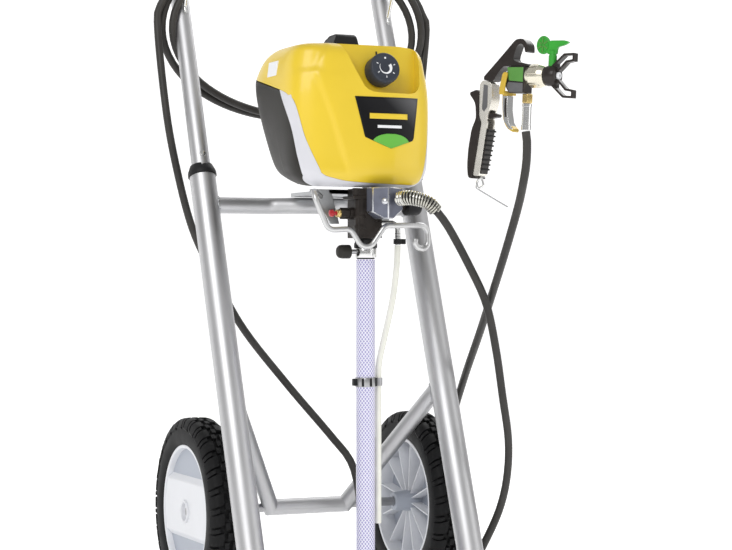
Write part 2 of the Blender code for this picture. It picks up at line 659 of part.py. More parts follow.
def coil_point(angle, along, across):
    """A point on the hose coil's tube: angle round the coil, along its own plane and across it."""
    x = COIL_CENTRE[0] + (COIL_HALF[0] + along) * math.cos(angle)
    z = COIL_CENTRE[1] + (COIL_HALF[1] + along) * math.sin(angle)
    return (x, COIL_Y + COIL_LEAN * (z - 0.70) + across, z)


def build_hose(cart, finish):
    """The paint hose: pump run, hanging coil and gun run. The gun's tube and the pump's guard end it."""
    for name, route in (("hose_pump_run", PUMP_RUN), ("hose_gun_run", GUN_RUN)):
        run = tube(smooth_route(route, ROUTE_POINTS), HOSE_RADIUS, 2)
        part(name, run, finish["hose_rubber"], cart)
    ring = bmesh.new()
    around, section = 44, 8
    rows = []
    for i in range(around):
        angle = 2 * math.pi * i / around
        turns = [2 * math.pi * j / section for j in range(section)]
        places = [coil_point(angle, COIL_THICK[0] * math.cos(t), COIL_THICK[1] * math.sin(t)) for t in turns]
        rows.append([ring.verts.new(place) for place in places])
    for i in range(around):
        for j in range(section):
            k, m = (i + 1) % around, (j + 1) % section
            ring.faces.new((rows[i][j], rows[k][j], rows[k][m], rows[i][m]))
    part("hose_coil", ring, finish["hose_rubber"], cart)


def build_gun(cart, finish):
    """The airless gun. Its fluid tube stands still, and the rest swivels about that tube."""
    gun = empty("gun", cart, GUN_AT, (0, GUN_PITCH, GUN_HEADING))
    part("fluid_tube", rod(0.0060, -0.0650, -0.0330, 14), finish["chrome"], gun)
    part("swivel_nut", rod(0.0070, -0.0327, -0.0215, 6), finish["brass"], gun)

    core = [(-0.0225, 0.0110), (0.0000, 0.0110), (0.0000, -0.0210), (-0.0207, -0.0210), (-0.0279, -0.0100)]
    part("gun_body", prism(core, -0.0110, 0.0110), finish["dark_metal"], gun)
    barrel = [
        (0, 0.0003), (0.0105, 0.0003), (0.0105, 0.0050), (0.0138, 0.0065), (0.0142, 0.0180),
        (0.0120, 0.0250), (0, 0.0250),
    ]
    part("collar_nut", along_x(turned(barrel, 16)), finish["chrome"], gun)

    cover = [
        (0.0000, 0.0113), (0.0000, 0.0150), (-0.0189, 0.0185), (-0.0117, 0.0400), (-0.0054, 0.0430),
        (0.0000, 0.0380), (0.0018, 0.0310), (0.0054, 0.0320), (0.0045, 0.0420), (-0.0027, 0.0490),
        (-0.0135, 0.0480), (-0.0387, 0.0190), (-0.0576, -0.0010), (-0.0576, -0.0050), (-0.0450, -0.0080),
        (-0.0360, 0.0060), (-0.0306, 0.0113),
    ]
    part("gun_cover", prism(cover, -0.0085, 0.0085), finish["gun_plastic"], gun)
    frame = [
        (-0.0576, -0.0053), (-0.0455, -0.0085), (-0.0441, -0.0300), (-0.0477, -0.0430), (-0.0504, -0.0530),
        (-0.0491, -0.0560), (-0.0576, -0.1220), (-0.0666, -0.1220), (-0.0576, -0.0560), (-0.0612, -0.0500),
        (-0.0621, -0.0300), (-0.0621, -0.0100),
    ]
    handle = part("gun_handle", prism(frame, -0.0095, 0.0095), finish["chrome"], gun)
    cut(handle, block((-0.0600, -0.0065, -0.0640), (-0.0360, 0.0065, -0.0415)))
    back = [
        (-0.0624, -0.0095), (-0.0756, -0.0150), (-0.0761, -0.0185), (-0.0662, -0.0290), (-0.0643, -0.0520),
        (-0.0711, -0.0640), (-0.0765, -0.0900), (-0.0765, -0.1100), (-0.0738, -0.1250), (-0.0576, -0.1250),
        (-0.0576, -0.1223), (-0.0669, -0.1223), (-0.0580, -0.0563), (-0.0616, -0.0503), (-0.0624, -0.0300),
    ]
    part("grip_back", prism(back, -0.0120, 0.0120), finish["gun_plastic"], gun)

    x, y, z = TRIGGER_PIVOT
    blade = [
        (0.0045, 0.0045), (-0.0045, 0.0045), (-0.0080, -0.0180), (-0.0060, -0.0420), (-0.0010, -0.0570),
        (0.0070, -0.0650), (0.0150, -0.0690), (0.0160, -0.0650), (0.0060, -0.0580), (0.0020, -0.0420),
        (0.0005, -0.0150),
    ]
    trigger = part("trigger", prism(blade, -0.0145, 0.0145), finish["chrome"], gun, TRIGGER_PIVOT)
    cut(trigger, block((-0.0200, -0.0115, -0.0300), (0.0200, 0.0115, 0.0100)))
    cut(trigger, block((-0.0200, -0.0115, -0.0560), (-0.0030, 0.0115, -0.0200)))
    lock = [
        (-0.0035, 0.0035), (-0.0035, -0.0035), (0.0030, -0.0040), (0.0140, -0.0025), (0.0140, 0.0015),
        (0.0040, 0.0035),
    ]
    part("trigger_lock", prism(lock, -0.0060, 0.0060), finish["gun_plastic"], gun, LOCK_PIVOT)

    guard = empty("guard_axis", gun)
    outline = [
        (0, 0.0253), (0.0110, 0.0253), (0.0125, 0.0280), (0.0125, 0.0390), (0.0100, 0.0410),
        (0, 0.0410),
    ]
    base = along_x(turned(outline, 20))
    tip_guard = part("tip_guard", base, finish["gun_plastic"], guard)
    wing = [
        (0.0360, 0.0060), (0.0360, 0.0110), (0.0504, 0.0230), (0.0630, 0.0230), (0.0630, 0.0180),
        (0.0531, 0.0160), (0.0432, 0.0060),
    ]
    for outline in (wing, [(a, -b) for a, b in wing]):
        join(tip_guard, prism(outline, -0.0090, 0.0090))
    cut(tip_guard, moved(rod(0.0050 + GAP, -0.0040, 0.0400, 14), (TIP_X, 0, 0)))
    stem = rod(0.0050, -0.0037, 0.0300, 14)
    tip = part("spray_tip", stem, finish["green_plastic"], guard, (TIP_X, 0, 0))
    join(tip, along_y(rod(0.0110, -0.0022, 0.0022, 18), (-0.0130, 0, 0.0370)))
    arrow = [
        (-0.0080, 0.0250), (0.0060, 0.0250), (0.0060, 0.0340), (0.0160, 0.0360), (0.0230, 0.0400),
        (0.0160, 0.0420), (-0.0080, 0.0420),
    ]
    join(tip, prism(arrow, -0.0022, 0.0022))

    link = [(-0.0640, 0, -0.1270), (-0.0680, 0, -0.1360), (-0.0380, 0, -0.1490), (-0.0215, 0, -0.1570)]
    part("guard_wire", tube(rounded(link, 0.003, 2), 0.0009, 2), finish["steel"], gun)


def main():
    for old in list(bpy.data.objects):
        bpy.data.objects.remove(old, do_unlink=True)
    finish = {
        "aluminium": material("aluminium", (0.62, 0.62, 0.63), 0.30, 1.0),
        "chrome": material("chrome", (0.72, 0.72, 0.71), 0.15, 1.0),
        "steel": material("steel", (0.45, 0.45, 0.46), 0.35, 1.0),
        "spring_steel": material("spring_steel", (0.55, 0.55, 0.52), 0.25, 1.0),
        "brass": material("brass", (0.72, 0.52, 0.20), 0.28, 1.0),
        "dark_metal": material("dark_metal", (0.10, 0.10, 0.11), 0.40, 0.6),
        "black_metal": material("black_metal", (0.04, 0.035, 0.032), 0.45, 0.3),
        "blue_grey_metal": material("blue_grey_metal", (0.23, 0.24, 0.29), 0.40, 0.5),
        "yellow_plastic": material("yellow_plastic", (0.85, 0.56, 0.04), 0.32),
        "grey_plastic": material("grey_plastic", (0.68, 0.68, 0.72), 0.38),
        "dark_plastic": material("dark_plastic", (0.045, 0.042, 0.038), 0.50),
        "black_plastic": material("black_plastic", (0.02, 0.02, 0.02), 0.50),
        "knob_plastic": material("knob_plastic", (0.045, 0.05, 0.065), 0.45),
        "white_plastic": material("white_plastic", (0.66, 0.67, 0.70), 0.40),
        "red_plastic": material("red_plastic", (0.42, 0.01, 0.015), 0.35),
        "green_plastic": material("green_plastic", (0.03, 0.33, 0.03), 0.40),
        "gun_plastic": material("gun_plastic", (0.035, 0.028, 0.025), 0.45),
        "black_rubber": material("black_rubber", (0.018, 0.018, 0.018), 0.70),
        "tyre_rubber": material("tyre_rubber", (0.012, 0.012, 0.013), 0.75),
        "hose_rubber": material("hose_rubber", (0.055, 0.052, 0.050), 0.50),
        "clear_hose": material("clear_hose", (0.70, 0.68, 0.80), 0.25),
        "clear_tube": material("clear_tube", (0.86, 0.86, 0.78), 0.25),
    }
    cart = empty("machine", None, (0, -ORIGIN_Y, 0))
    tilt = empty("tilt", cart, turn=(-LEAN, 0, 0))
    build_legs(tilt, finish)
    build_handle(tilt, finish)
    build_bars(cart, finish)
    build_wheels(cart, finish)
    build_housing(cart, finish)
    build_drive(cart, finish)
    build_pump(cart, finish)
    build_suction(cart, finish)
    build_brackets(cart, finish)
    build_pressure_knob(cart, finish)
    build_hose(cart, finish)
    build_gun(cart, finish)


main()
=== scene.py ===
"""Airless paint sprayer on a two-wheel cart: the looks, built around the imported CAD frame."""

import math

import bmesh
import bpy
from mathutils import Euler, Matrix, Vector


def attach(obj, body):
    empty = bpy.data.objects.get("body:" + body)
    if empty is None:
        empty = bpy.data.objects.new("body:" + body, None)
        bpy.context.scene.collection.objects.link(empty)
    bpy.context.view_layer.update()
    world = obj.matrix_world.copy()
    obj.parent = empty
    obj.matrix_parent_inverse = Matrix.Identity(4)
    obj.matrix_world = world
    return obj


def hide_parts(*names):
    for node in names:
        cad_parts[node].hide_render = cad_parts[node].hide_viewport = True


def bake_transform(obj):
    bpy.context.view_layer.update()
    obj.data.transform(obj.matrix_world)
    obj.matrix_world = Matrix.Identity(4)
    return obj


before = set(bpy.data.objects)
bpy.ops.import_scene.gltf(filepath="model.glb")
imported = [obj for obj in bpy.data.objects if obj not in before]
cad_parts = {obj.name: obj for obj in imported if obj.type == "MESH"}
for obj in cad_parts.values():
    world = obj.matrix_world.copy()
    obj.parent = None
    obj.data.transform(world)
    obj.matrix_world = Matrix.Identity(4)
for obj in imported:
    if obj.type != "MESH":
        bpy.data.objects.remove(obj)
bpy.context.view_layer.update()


def mm(*points):
    """These points, given in millimetres, in metres."""
    return [tuple(value / 1000 for value in point) for point in points]


ORIGIN_Y = 0.07817
LEAN = math.radians(20.84)
CART = Matrix.Translation((0, -ORIGIN_Y, 0))
TILT = CART @ Matrix.Rotation(-LEAN, 4, "X")
GUN_AT = (0.1145, -0.199, 0.679)
GUN = CART @ Matrix.Translation(GUN_AT) @ Euler((0, math.radians(3), math.radians(-59))).to_matrix().to_4x4()

TRACK = 0.3054
LEG_RADIUS = 0.0175
LEG_TOP = 0.6115
HANDLE_RADIUS = 0.0125
HANDLE_TOP = 1.12
HANDLE_BOTTOM = 0.4
BUTTON_HEIGHT = 0.64
HOOK_HEIGHT = 0.858
CROSSBAR_HEIGHT = 0.533
BRACE_HEIGHT = 0.296
BRACE_HALF = 0.0545
BAR_RADIUS = 0.011
WHEEL_RADIUS = 0.125
WHEEL_Y = 0.218
TYRE_X = 0.1595
PUMP_X, PUMP_Y = 0.006, 0.038
GEAR_HEIGHT = 0.64
SUCTION_RADIUS, SUCTION_LENGTH = 0.0122, 0.408
RETURN_X, RETURN_Y, RETURN_RADIUS = 0.0505, 0.036, 0.004
PUSHER_HEIGHT = 0.519
PISTON_FOOT = 0.545
TIP_X = 0.0325  # the spray tip's axis, on the gun

HOSE_RADIUS = 0.0052
COIL_CENTRE = (0.012, 0.78)
COIL_HALF = (0.1935, 0.123)
COIL_Y = 0.304
COIL_LEAN = -0.12
COIL_START = math.radians(190)
COIL_TURNS = 2.5 + 20 / 360
# How far the coil's turns stand off its middle line, as (turn, distance).
COIL_ALONG = ((0.0, 0.0115), (0.5, 0.0), (1.0, -0.0115), (1.5, -0.0115), (2.0, 0.0), (2.5, 0.0115),
    (3.0, 0.0115))
COIL_ACROSS = ((0.0, -0.003), (0.25, -0.006), (0.75, -0.006), (1.25, 0.0), (1.75, 0.006), (2.25, 0.006),
    (2.5, 0.003), (3.0, 0.003))
# The paint hose's way up from the pump to the coil, and from the gun to the coil.
PUMP_RUN = mm((70, -40.3, 520.3), (86, -40, 501), (117, -35, 454), (145, -30, 404), (167, -15, 345),
    (185, 0, 281), (204, 20, 224), (212, 38, 175), (211, 56, 130), (198, 72, 85), (173, 75, 45), (135, 80, 17),
    (95, 98, 12), (64, 122, 30), (53, 145, 80), (52, 160, 135), (44, 170, 185), (19, 185, 223), (-36, 210, 294),
    (-90, 235, 370), (-127, 250, 444), (-154, 257, 505), (-174, 264, 587), (-187, 270, 668))
GUN_RUN = mm((112.6, -195.9, 612.5), (115, -194.5, 600), (119.4, -185, 576.5), (124, -169, 553),
    (132, -140, 523), (141, -90, 469), (154, -30, 416), (172, 40, 364), (189, 110, 313), (201, 160, 273),
    (208, 195, 240), (216, 230, 225), (225, 262, 240), (230, 280, 280), (224, 286, 350), (212, 286, 423),
    (202, 286, 481), (191, 285, 553), (192, 281, 625))


# Materials

def new_material(name):
    made = bpy.data.materials.new(name)
    made.use_nodes = True
    tree = made.node_tree
    place = tree.nodes.new("ShaderNodeTexCoord").outputs["Object"]
    return made, tree, tree.nodes["Principled BSDF"], place


def fill(node, **values):
    """Sets the node's inputs. A name's underscores stand for spaces."""
    for name, value in values.items():
        node.inputs[name.replace("_", " ")].default_value = value


def noise_of(tree, place, scale, detail):
    noise = tree.nodes.new("ShaderNodeTexNoise")
    fill(noise, Scale=scale, Detail=detail)
    tree.links.new(place, noise.inputs["Vector"])
    return noise.outputs["Fac"]


def maths(tree, operation, *values):
    """A Math node's result. Each value is a number or another node's output."""
    node = tree.nodes.new("ShaderNodeMath")
    node.operation = operation
    for socket, value in zip(node.inputs, values):
        if isinstance(value, bpy.types.NodeSocket):
            tree.links.new(value, socket)
        else:
            socket.default_value = value
    return node.outputs[0]


def parts_of(tree, place):
    split = tree.nodes.new("ShaderNodeSeparateXYZ")
    tree.links.new(place, split.inputs["Vector"])
    return split.outputs


def ramp_of(tree, value, stops):
    ramp = tree.nodes.new("ShaderNodeValToRGB")
    elements = ramp.color_ramp.elements
    while len(elements) < len(stops):
        elements.new(0.5)
    for element, (place, colour) in zip(elements, stops):
        element.position = place
        element.color = (*colour, 1)
    tree.links.new(value, ramp.inputs["Fac"])
    return ramp.outputs["Color"]


def range_of(tree, value, start, end, low=0.0, high=1.0):
    remap = tree.nodes.new("ShaderNodeMapRange")
    fill(remap, From_Min=start, From_Max=end, To_Min=low, To_Max=high)
    tree.links.new(value, remap.inputs["Value"])
    return remap.outputs["Result"]


def bump_of(tree, shader, height, strength, distance):
    bump = tree.nodes.new("ShaderNodeBump")
    fill(bump, Strength=strength, Distance=distance)
    tree.links.new(height, bump.inputs["Height"])
    tree.links.new(bump.outputs["Normal"], shader.inputs["Normal"])


def darker(colour, share):
    return tuple(channel * share for channel in colour)


def surface(name, colour, roughness, metallic, vary, mottle, grain, relief, coat=0.0, shine=0.5):
    """A moulded, painted or metal finish: mottled colour, uneven gloss and a fine grain."""
    made, tree, shader, place = new_material(name)
    patches = noise_of(tree, place, mottle, 4.0)
    stops = [(0.3, darker(colour, 1 - vary)), (0.7, darker(colour, 1 + vary))]
    tree.links.new(ramp_of(tree, patches, stops), shader.inputs["Base Color"])
    spread = 0.1 * roughness + 0.01
    gloss = range_of(tree, patches, 0.3, 0.7, roughness - spread, roughness + spread)
    tree.links.new(gloss, shader.inputs["Roughness"])
    fill(shader, Metallic=metallic, Specular_IOR_Level=shine, Coat_Weight=coat, Coat_Roughness=0.12)
    bump_of(tree, shader, noise_of(tree, place, grain, 2.0), relief, 0.0002)
    return made


def smoked_hose():
    """The paint hose's dark satin sheath."""
    made, tree, shader, place = new_material("hose_sheath")
    stops = [(0.25, (0.03, 0.028, 0.026)), (0.75, (0.048, 0.045, 0.042))]
    tree.links.new(ramp_of(tree, noise_of(tree, place, 25.0, 3.0), stops), shader.inputs["Base Color"])
    fill(shader, Roughness=0.42, Specular_IOR_Level=0.3)
    bump_of(tree, shader, noise_of(tree, place, 1200.0, 2.0), 0.12, 0.0002)
    return made


def label_print():
    """Printed film: black low on the left, grey towards the upper right."""
    made, tree, shader, place = new_material("label_print")
    x, _, z = parts_of(tree, place)
    fall = range_of(tree, maths(tree, "MULTIPLY_ADD", x, 0.9, z), 0.615, 0.725)
    stops = [(0.25, (0.006, 0.006, 0.007)), (0.62, (0.012, 0.012, 0.014)), (0.95, (0.11, 0.11, 0.115))]
    tree.links.new(ramp_of(tree, fall, stops), shader.inputs["Base Color"])
    fill(shader, Roughness=0.34, Specular_IOR_Level=0.18)
    bump_of(tree, shader, noise_of(tree, place, 900.0, 2.0), 0.05, 0.0001)
    return made


def braided_clear():
    """Clear hose over a crossed white braid."""
    made, tree, shader, place = new_material("braided_clear")
    x, y, z = parts_of(tree, place)
    out, back = maths(tree, "SUBTRACT", x, PUMP_X), maths(tree, "SUBTRACT", y, PUMP_Y - ORIGIN_Y)
    angle = maths(tree, "ARCTAN2", out, back)
    strands = []
    for turn in (1, -1):
        rise = maths(tree, "MULTIPLY", z, turn * 1150.0)
        strands.append(maths(tree, "SINE", maths(tree, "MULTIPLY_ADD", angle, 18.0, rise)))
    weave = maths(tree, "MAXIMUM", *strands)
    stops = [(0.45, (0.36, 0.34, 0.6)), (0.92, (0.9, 0.89, 0.97))]
    tree.links.new(ramp_of(tree, weave, stops), shader.inputs["Base Color"])
    fill(shader, Roughness=0.22, Coat_Weight=0.6, Coat_Roughness=0.08, Subsurface_Weight=0.25,
        Subsurface_Radius=(0.004, 0.004, 0.005))
    bump_of(tree, shader, weave, 0.25, 0.0003)
    return made


FINISHES = (  # look, slot, material, colour, roughness, metallic, variation, mottle, grain, relief, coat, shine
    ("aluminium", "aluminium", "satin_tube", (0.6, 0.6, 0.61), 0.47, 1.0, 0.02, 8.0, 500.0, 0.03),
    # A darker copy of the satin tube for the bars that run across: painted shade.
    ("aluminium_across", "aluminium", "satin_bar", (0.56, 0.56, 0.57), 0.47, 1.0, 0.02, 8.0, 500.0, 0.03),
    ("cast", "aluminium", "cast_plate", (0.5, 0.51, 0.52), 0.38, 1.0, 0.08, 60.0, 700.0, 0.2),
    ("chrome", "chrome", "plated_wire", (0.74, 0.74, 0.73), 0.16, 1.0, 0.03, 80.0, 500.0, 0.05),
    ("wire", "chrome", "satin_wire", (0.62, 0.62, 0.62), 0.34, 1.0, 0.03, 60.0, 500.0, 0.05),
    ("steel", "steel", "plain_steel", (0.42, 0.42, 0.43), 0.34, 1.0, 0.06, 90.0, 700.0, 0.12),
    ("spring", "spring_steel", "spring_wire", (0.56, 0.55, 0.5), 0.24, 1.0, 0.06, 90.0, 500.0, 0.08),
    ("brass", "brass", "turned_brass", (0.74, 0.55, 0.22), 0.26, 1.0, 0.06, 90.0, 600.0, 0.1),
    ("black_metal", "black_metal", "black_casting", (0.03, 0.025, 0.022), 0.4, 0.2, 0.2, 70.0, 500.0, 0.3, 0.0, 0.22),
    ("blue_grey", "blue_grey_metal", "grey_casting", (0.17, 0.18, 0.23), 0.36, 0.55, 0.12, 70.0, 500.0, 0.22),
    # Light bare metal: the outlet bolt's own finish, and a painted highlight on the outlet head's bevelled edges.
    ("bare_edge", "chrome", "machined_edge", (0.62, 0.63, 0.66), 0.28, 0.9, 0.05, 90.0, 500.0, 0.1),
    ("yellow", "yellow_plastic", "yellow_shell", (0.8, 0.57, 0.028), 0.36, 0.0, 0.025, 9.0, 1100.0, 0.1, 0.25),
    ("grey", "grey_plastic", "grey_band", (0.66, 0.66, 0.7), 0.4, 0.0, 0.02, 12.0, 1100.0, 0.14),
    ("dark", "dark_plastic", "dark_shell", (0.026, 0.024, 0.021), 0.46, 0.0, 0.06, 14.0, 800.0, 0.3, 0.0, 0.22),
    ("black", "black_plastic", "black_moulding", (0.016, 0.016, 0.017), 0.46, 0.0, 0.12, 40.0, 900.0, 0.25, 0.0, 0.22),
    ("knob", "knob_plastic", "knob_moulding", (0.04, 0.046, 0.06), 0.42, 0.0, 0.08, 60.0, 1000.0, 0.2, 0.0, 0.22),
    ("white", "white_plastic", "rim_moulding", (0.74, 0.75, 0.78), 0.42, 0.0, 0.03, 15.0, 900.0, 0.14),
    # Painted shade: the white rim's recessed web and hub barrel in a darker blue-grey.
    ("rim_inside", "white_plastic", "rim_inside", (0.4, 0.43, 0.49), 0.48, 0.0, 0.05, 15.0, 900.0, 0.14),
    ("mark", "white_plastic", "white_print", (0.85, 0.86, 0.88), 0.45, 0.0, 0.02, 80.0, 900.0, 0.05),
    ("red", "red_plastic", "red_cap", (0.46, 0.008, 0.016), 0.3, 0.0, 0.08, 90.0, 800.0, 0.1, 0.3),
    ("green", "green_plastic", "green_moulding", (0.03, 0.34, 0.028), 0.36, 0.0, 0.06, 60.0, 800.0, 0.12),
    ("leaf", "green_plastic", "green_panel", (0.085, 0.26, 0.045), 0.38, 0.0, 0.05, 60.0, 800.0, 0.1),
    ("gun_black", "gun_plastic", "gun_moulding", (0.024, 0.019, 0.017), 0.34, 0.0, 0.12, 70.0, 900.0, 0.18, 0.2, 0.22),
    ("gun_grey", "dark_metal", "gun_grey", (0.13, 0.13, 0.135), 0.42, 0.3, 0.1, 70.0, 900.0, 0.18),
    ("cream", "chrome", "cream_metal", (0.74, 0.7, 0.58), 0.24, 0.85, 0.06, 60.0, 600.0, 0.08),
    ("frame", "chrome", "bright_frame", (0.86, 0.83, 0.76), 0.24, 0.75, 0.08, 30.0, 500.0, 0.05),
    ("gold", "yellow_plastic", "trigger_yellow", (0.62, 0.42, 0.05), 0.34, 0.2, 0.08, 60.0, 600.0, 0.1),
    ("rubber", "black_rubber", "rubber_sleeve", (0.014, 0.014, 0.014), 0.62, 0.0, 0.15, 60.0, 900.0, 0.35, 0.0, 0.22),
    ("tyre", "tyre_rubber", "tyre_rubber", (0.0065, 0.0065, 0.007), 0.6, 0.0, 0.22, 45.0, 700.0, 0.4, 0.0, 0.22),
    ("leaf_bright", "dark_plastic", "label_green", (0.13, 0.47, 0.055), 0.34, 0.0, 0.03, 60.0, 800.0, 0.05),
    ("tube", "clear_tube", "milky_tube", (0.82, 0.82, 0.74), 0.24, 0.0, 0.04, 60.0, 500.0, 0.06, 0.5),
)
LOOK = {"label": label_print(), "hose": smoked_hose(), "braid": braided_clear()}
SLOT = {"label": "dark_plastic", "hose": "hose_rubber", "braid": "clear_hose"}
for look, slot, *finish in FINISHES:
    LOOK[look] = surface(*finish)
    SLOT[look] = slot


# Shapes

def turned(profile, sides=64, closed=False):
    """Mesh turned about Z from (radius, height) points. A closed profile makes a ring."""
    mesh = bmesh.new()
    rows = []
    for radius, height in profile:
        if radius < 1e-7:
            rows.append([mesh.verts.new((0, 0, height))] * sides)
            continue
        ring = []
        for i in range(sides):
            angle = math.tau * i / sides
            ring.append(mesh.verts.new((radius * math.cos(angle), radius * math.sin(angle), height)))
        rows.append(ring)
    pairs = list(zip(rows, rows[1:]))
    if closed:
        pairs.append((rows[-1], rows[0]))
    for low, high in pairs:
        for i in range(sides):
            j = (i + 1) % sides
            corners = []
            for corner in (low[i], low[j], high[j], high[i]):
                if corner not in corners:
                    corners.append(corner)
            if len(corners) > 2:
                mesh.faces.new(corners)
    return mesh


def rod(radius, low, high, sides=40):
    return turned([(0, low), (radius, low), (radius, high), (0, high)], sides)


def pipe(radius, bore, low, high, sides=48):
    return turned([(bore, low), (radius, low), (radius, high), (bore, high)], sides, closed=True)


def prism(outline, low, high):
    """The outline's (x, z) points extruded along Y from low to high."""
    mesh = bmesh.new()
    front = [mesh.verts.new((x, low, z)) for x, z in outline]
    back = [mesh.verts.new((x, high, z)) for x, z in outline]
    mesh.faces.new(front)
    mesh.faces.new(back[::-1])
    for i, corner in enumerate(front):
        j = (i + 1) % len(front)
        mesh.faces.new((corner, back[i], back[j], front[j]))
    return mesh


def block(low, high):
    (x0, y0, z0), (x1, y1, z1) = low, high
    return prism([(x0, z0), (x1, z0), (x1, z1), (x0, z1)], y0, y1)


def loft(sections):
    """The rings of points joined one to the next, with both ends closed."""
    mesh = bmesh.new()
    rings = [[mesh.verts.new(point) for point in ring] for ring in sections]
    for lower, upper in zip(rings, rings[1:]):
        for i, corner in enumerate(lower):
            j = (i + 1) % len(lower)
            mesh.faces.new((corner, lower[j], upper[j], upper[i]))
    mesh.faces.new(rings[0][::-1])
    mesh.faces.new(rings[-1])
    return mesh


def moved(mesh, place=(0, 0, 0), turn=None):
    if turn is not None:
        bmesh.ops.transform(mesh, matrix=turn, verts=mesh.verts[:])
    bmesh.ops.translate(mesh, vec=place, verts=mesh.verts[:])
    return mesh


def along_x(mesh, place=(0, 0, 0)):
    return moved(mesh, place, Matrix.Rotation(math.pi / 2, 4, "Y"))


def along_y(mesh, place=(0, 0, 0)):
    """Turns the mesh so that its +Z points to the front, -Y."""
    return moved(mesh, place, Matrix.Rotation(math.pi / 2, 4, "X"))


def merged(*meshes):
    """One mesh that holds all of these, in the first."""
    first = meshes[0]
    for extra in meshes[1:]:
        data = bpy.data.meshes.new("extra")
        extra.to_mesh(data)
        extra.free()
        first.from_mesh(data)
        bpy.data.meshes.remove(data)
    return first


def rounded(points, radius, steps=10):
    """The path with each inner corner replaced by an arc of the given radius."""
    points = [Vector(p) for p in points]
    path = [points[0]]
    for before, corner, after in zip(points, points[1:], points[2:]):
        arrive = (corner - before).normalized()
        leave = (after - corner).normalized()
        half = arrive.angle(leave) / 2
        reach = radius * math.tan(half)
        start, end = corner - arrive * reach, corner + leave * reach
        centre = corner + (leave - arrive).normalized() * radius / math.cos(half)
        for i in range(steps + 1):
            spoke = (start - centre).lerp(end - centre, i / steps).normalized()
            path.append(centre + spoke * radius)
    path.append(points[-1])
    return path


def smooth_route(points, step):
    """A smooth curve through the points, read off at places about a step apart."""
    knots = [Vector(p) for p in points]
    knots = [knots[0] * 2 - knots[1]] + knots + [knots[-1] * 2 - knots[-2]]
    fine = []
    for a, b, c, d in zip(knots, knots[1:], knots[2:], knots[3:]):
        for i in range(20):
            t = i / 20
            bend = (2 * a - 5 * b + 4 * c - d) * t**2 + (3 * b - a - 3 * c + d) * t**3
            fine.append(0.5 * (2 * b + (c - a) * t + bend))
    fine.append(knots[-2])
    return evenly(fine, step=step)


def evenly(line, step=None, count=None):
    """Places along the line: about a step apart with both its ends, or this many round a closed line."""
    walked = [0.0]
    for before, after in zip(line, line[1:]):
        walked.append(walked[-1] + (after - before).length)
    gaps = count or max(2, round(walked[-1] / step))
    places, at = [], 0
    for i in range(count or gaps + 1):
        goal = walked[-1] * i / gaps
        while at < len(line) - 2 and walked[at + 1] < goal:
            at += 1
        share = (goal - walked[at]) / max(walked[at + 1] - walked[at], 1e-9)
        places.append(line[at].lerp(line[at + 1], share))
    return places


def frames(path):
    """Each place on the path, with two directions across it that are carried along without twist."""
    side = None
    for i, point in enumerate(path):
        forward = (path[min(i + 1, len(path) - 1)] - path[max(i - 1, 0)]).normalized()
        if side is None:
            side = forward.cross(Vector((0, 0, 1)))
            if side.length < 0.1:
                side = forward.cross(Vector((0, 1, 0)))
        side = (side - forward * side.dot(forward)).normalized()
        yield point, side, forward.cross(side)


def swept(path, radius, sides=20):
    """A round tube along the path. The radius may be a function of the share of the way along."""
    path = [Vector(p) for p in path]
    rings = []
    for i, (point, side, up) in enumerate(frames(path)):
        size = radius(i / (len(path) - 1)) if callable(radius) else radius
        ring = []
        for k in range(sides):
            angle = math.tau * k / sides
            ring.append(point + side * (size * math.cos(angle)) + up * (size * math.sin(angle)))
        rings.append(ring)
    return loft(rings)


def linked(name, data):
    made = bpy.data.objects.new(name, data)
    bpy.context.scene.collection.objects.link(made)
    return made


def bevel(made, name, width, segments, degrees):
    edge = made.modifiers.new(name, "BEVEL")
    edge.width = width
    edge.segments = segments
    edge.limit_method = "ANGLE"
    edge.angle_limit = math.radians(degrees)
    return edge


def piece(name, mesh, look, node=None, slot=None, body="cart", where=CART, edge=0.0, segments=2, smooth=38):
    """A finished object from a bmesh: placed, bevelled, shaded and set to ride on its body.

    A slot is worked out from its look, or the one named, but not given to it."""
    bmesh.ops.remove_doubles(mesh, verts=mesh.verts[:], dist=1e-6)
    bmesh.ops.recalc_face_normals(mesh, faces=mesh.faces[:])
    data = bpy.data.meshes.new(name)
    mesh.to_mesh(data)
    mesh.free()
    data.transform(where)
    made = linked(name, data)
    data.materials.append(LOOK[look])
    if edge:
        bevel(made, "edge", edge, segments, 30)
    data.shade_smooth()
    data.set_sharp_from_angle(angle=math.radians(smooth))
    if body:
        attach(made, body)
    slot = SLOT[look] if slot is None else slot
    if node:
        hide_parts(node)
    return made


def boolean(target, operation, shape, where=CART):
    """Cuts or joins a shape and applies it, ahead of any bevel."""
    if isinstance(shape, bpy.types.Object):
        data = shape.data.copy()
    else:
        bmesh.ops.recalc_face_normals(shape, faces=shape.faces[:])
        data = bpy.data.meshes.new("tool")
        shape.to_mesh(data)
        shape.free()
        data.transform(where)
    tool = linked("tool", data)
    change = target.modifiers.new("cut", "BOOLEAN")
    change.operation = operation
    change.object = tool
    change.solver = "EXACT"
    with bpy.context.temp_override(object=target, active_object=target, selected_objects=[target]):
        bpy.ops.object.modifier_move_to_index(modifier="cut", index=0)
        bpy.ops.object.modifier_apply(modifier="cut")
    bpy.data.objects.remove(tool)
    target.data.shade_smooth()
    target.data.set_sharp_from_angle(angle=math.radians(38))


# Stage

CAMERA_AT = (-1.0398, -2.3122 - ORIGIN_Y, 0.4401)
CAMERA_TURN = math.radians(-24)
CAMERA_SENSOR, CAMERA_LENS = 36, 98.32
BACKDROP_Y, BACKDROP_BEND, BACKDROP_HALF = 5.0, 2.0, 12.0


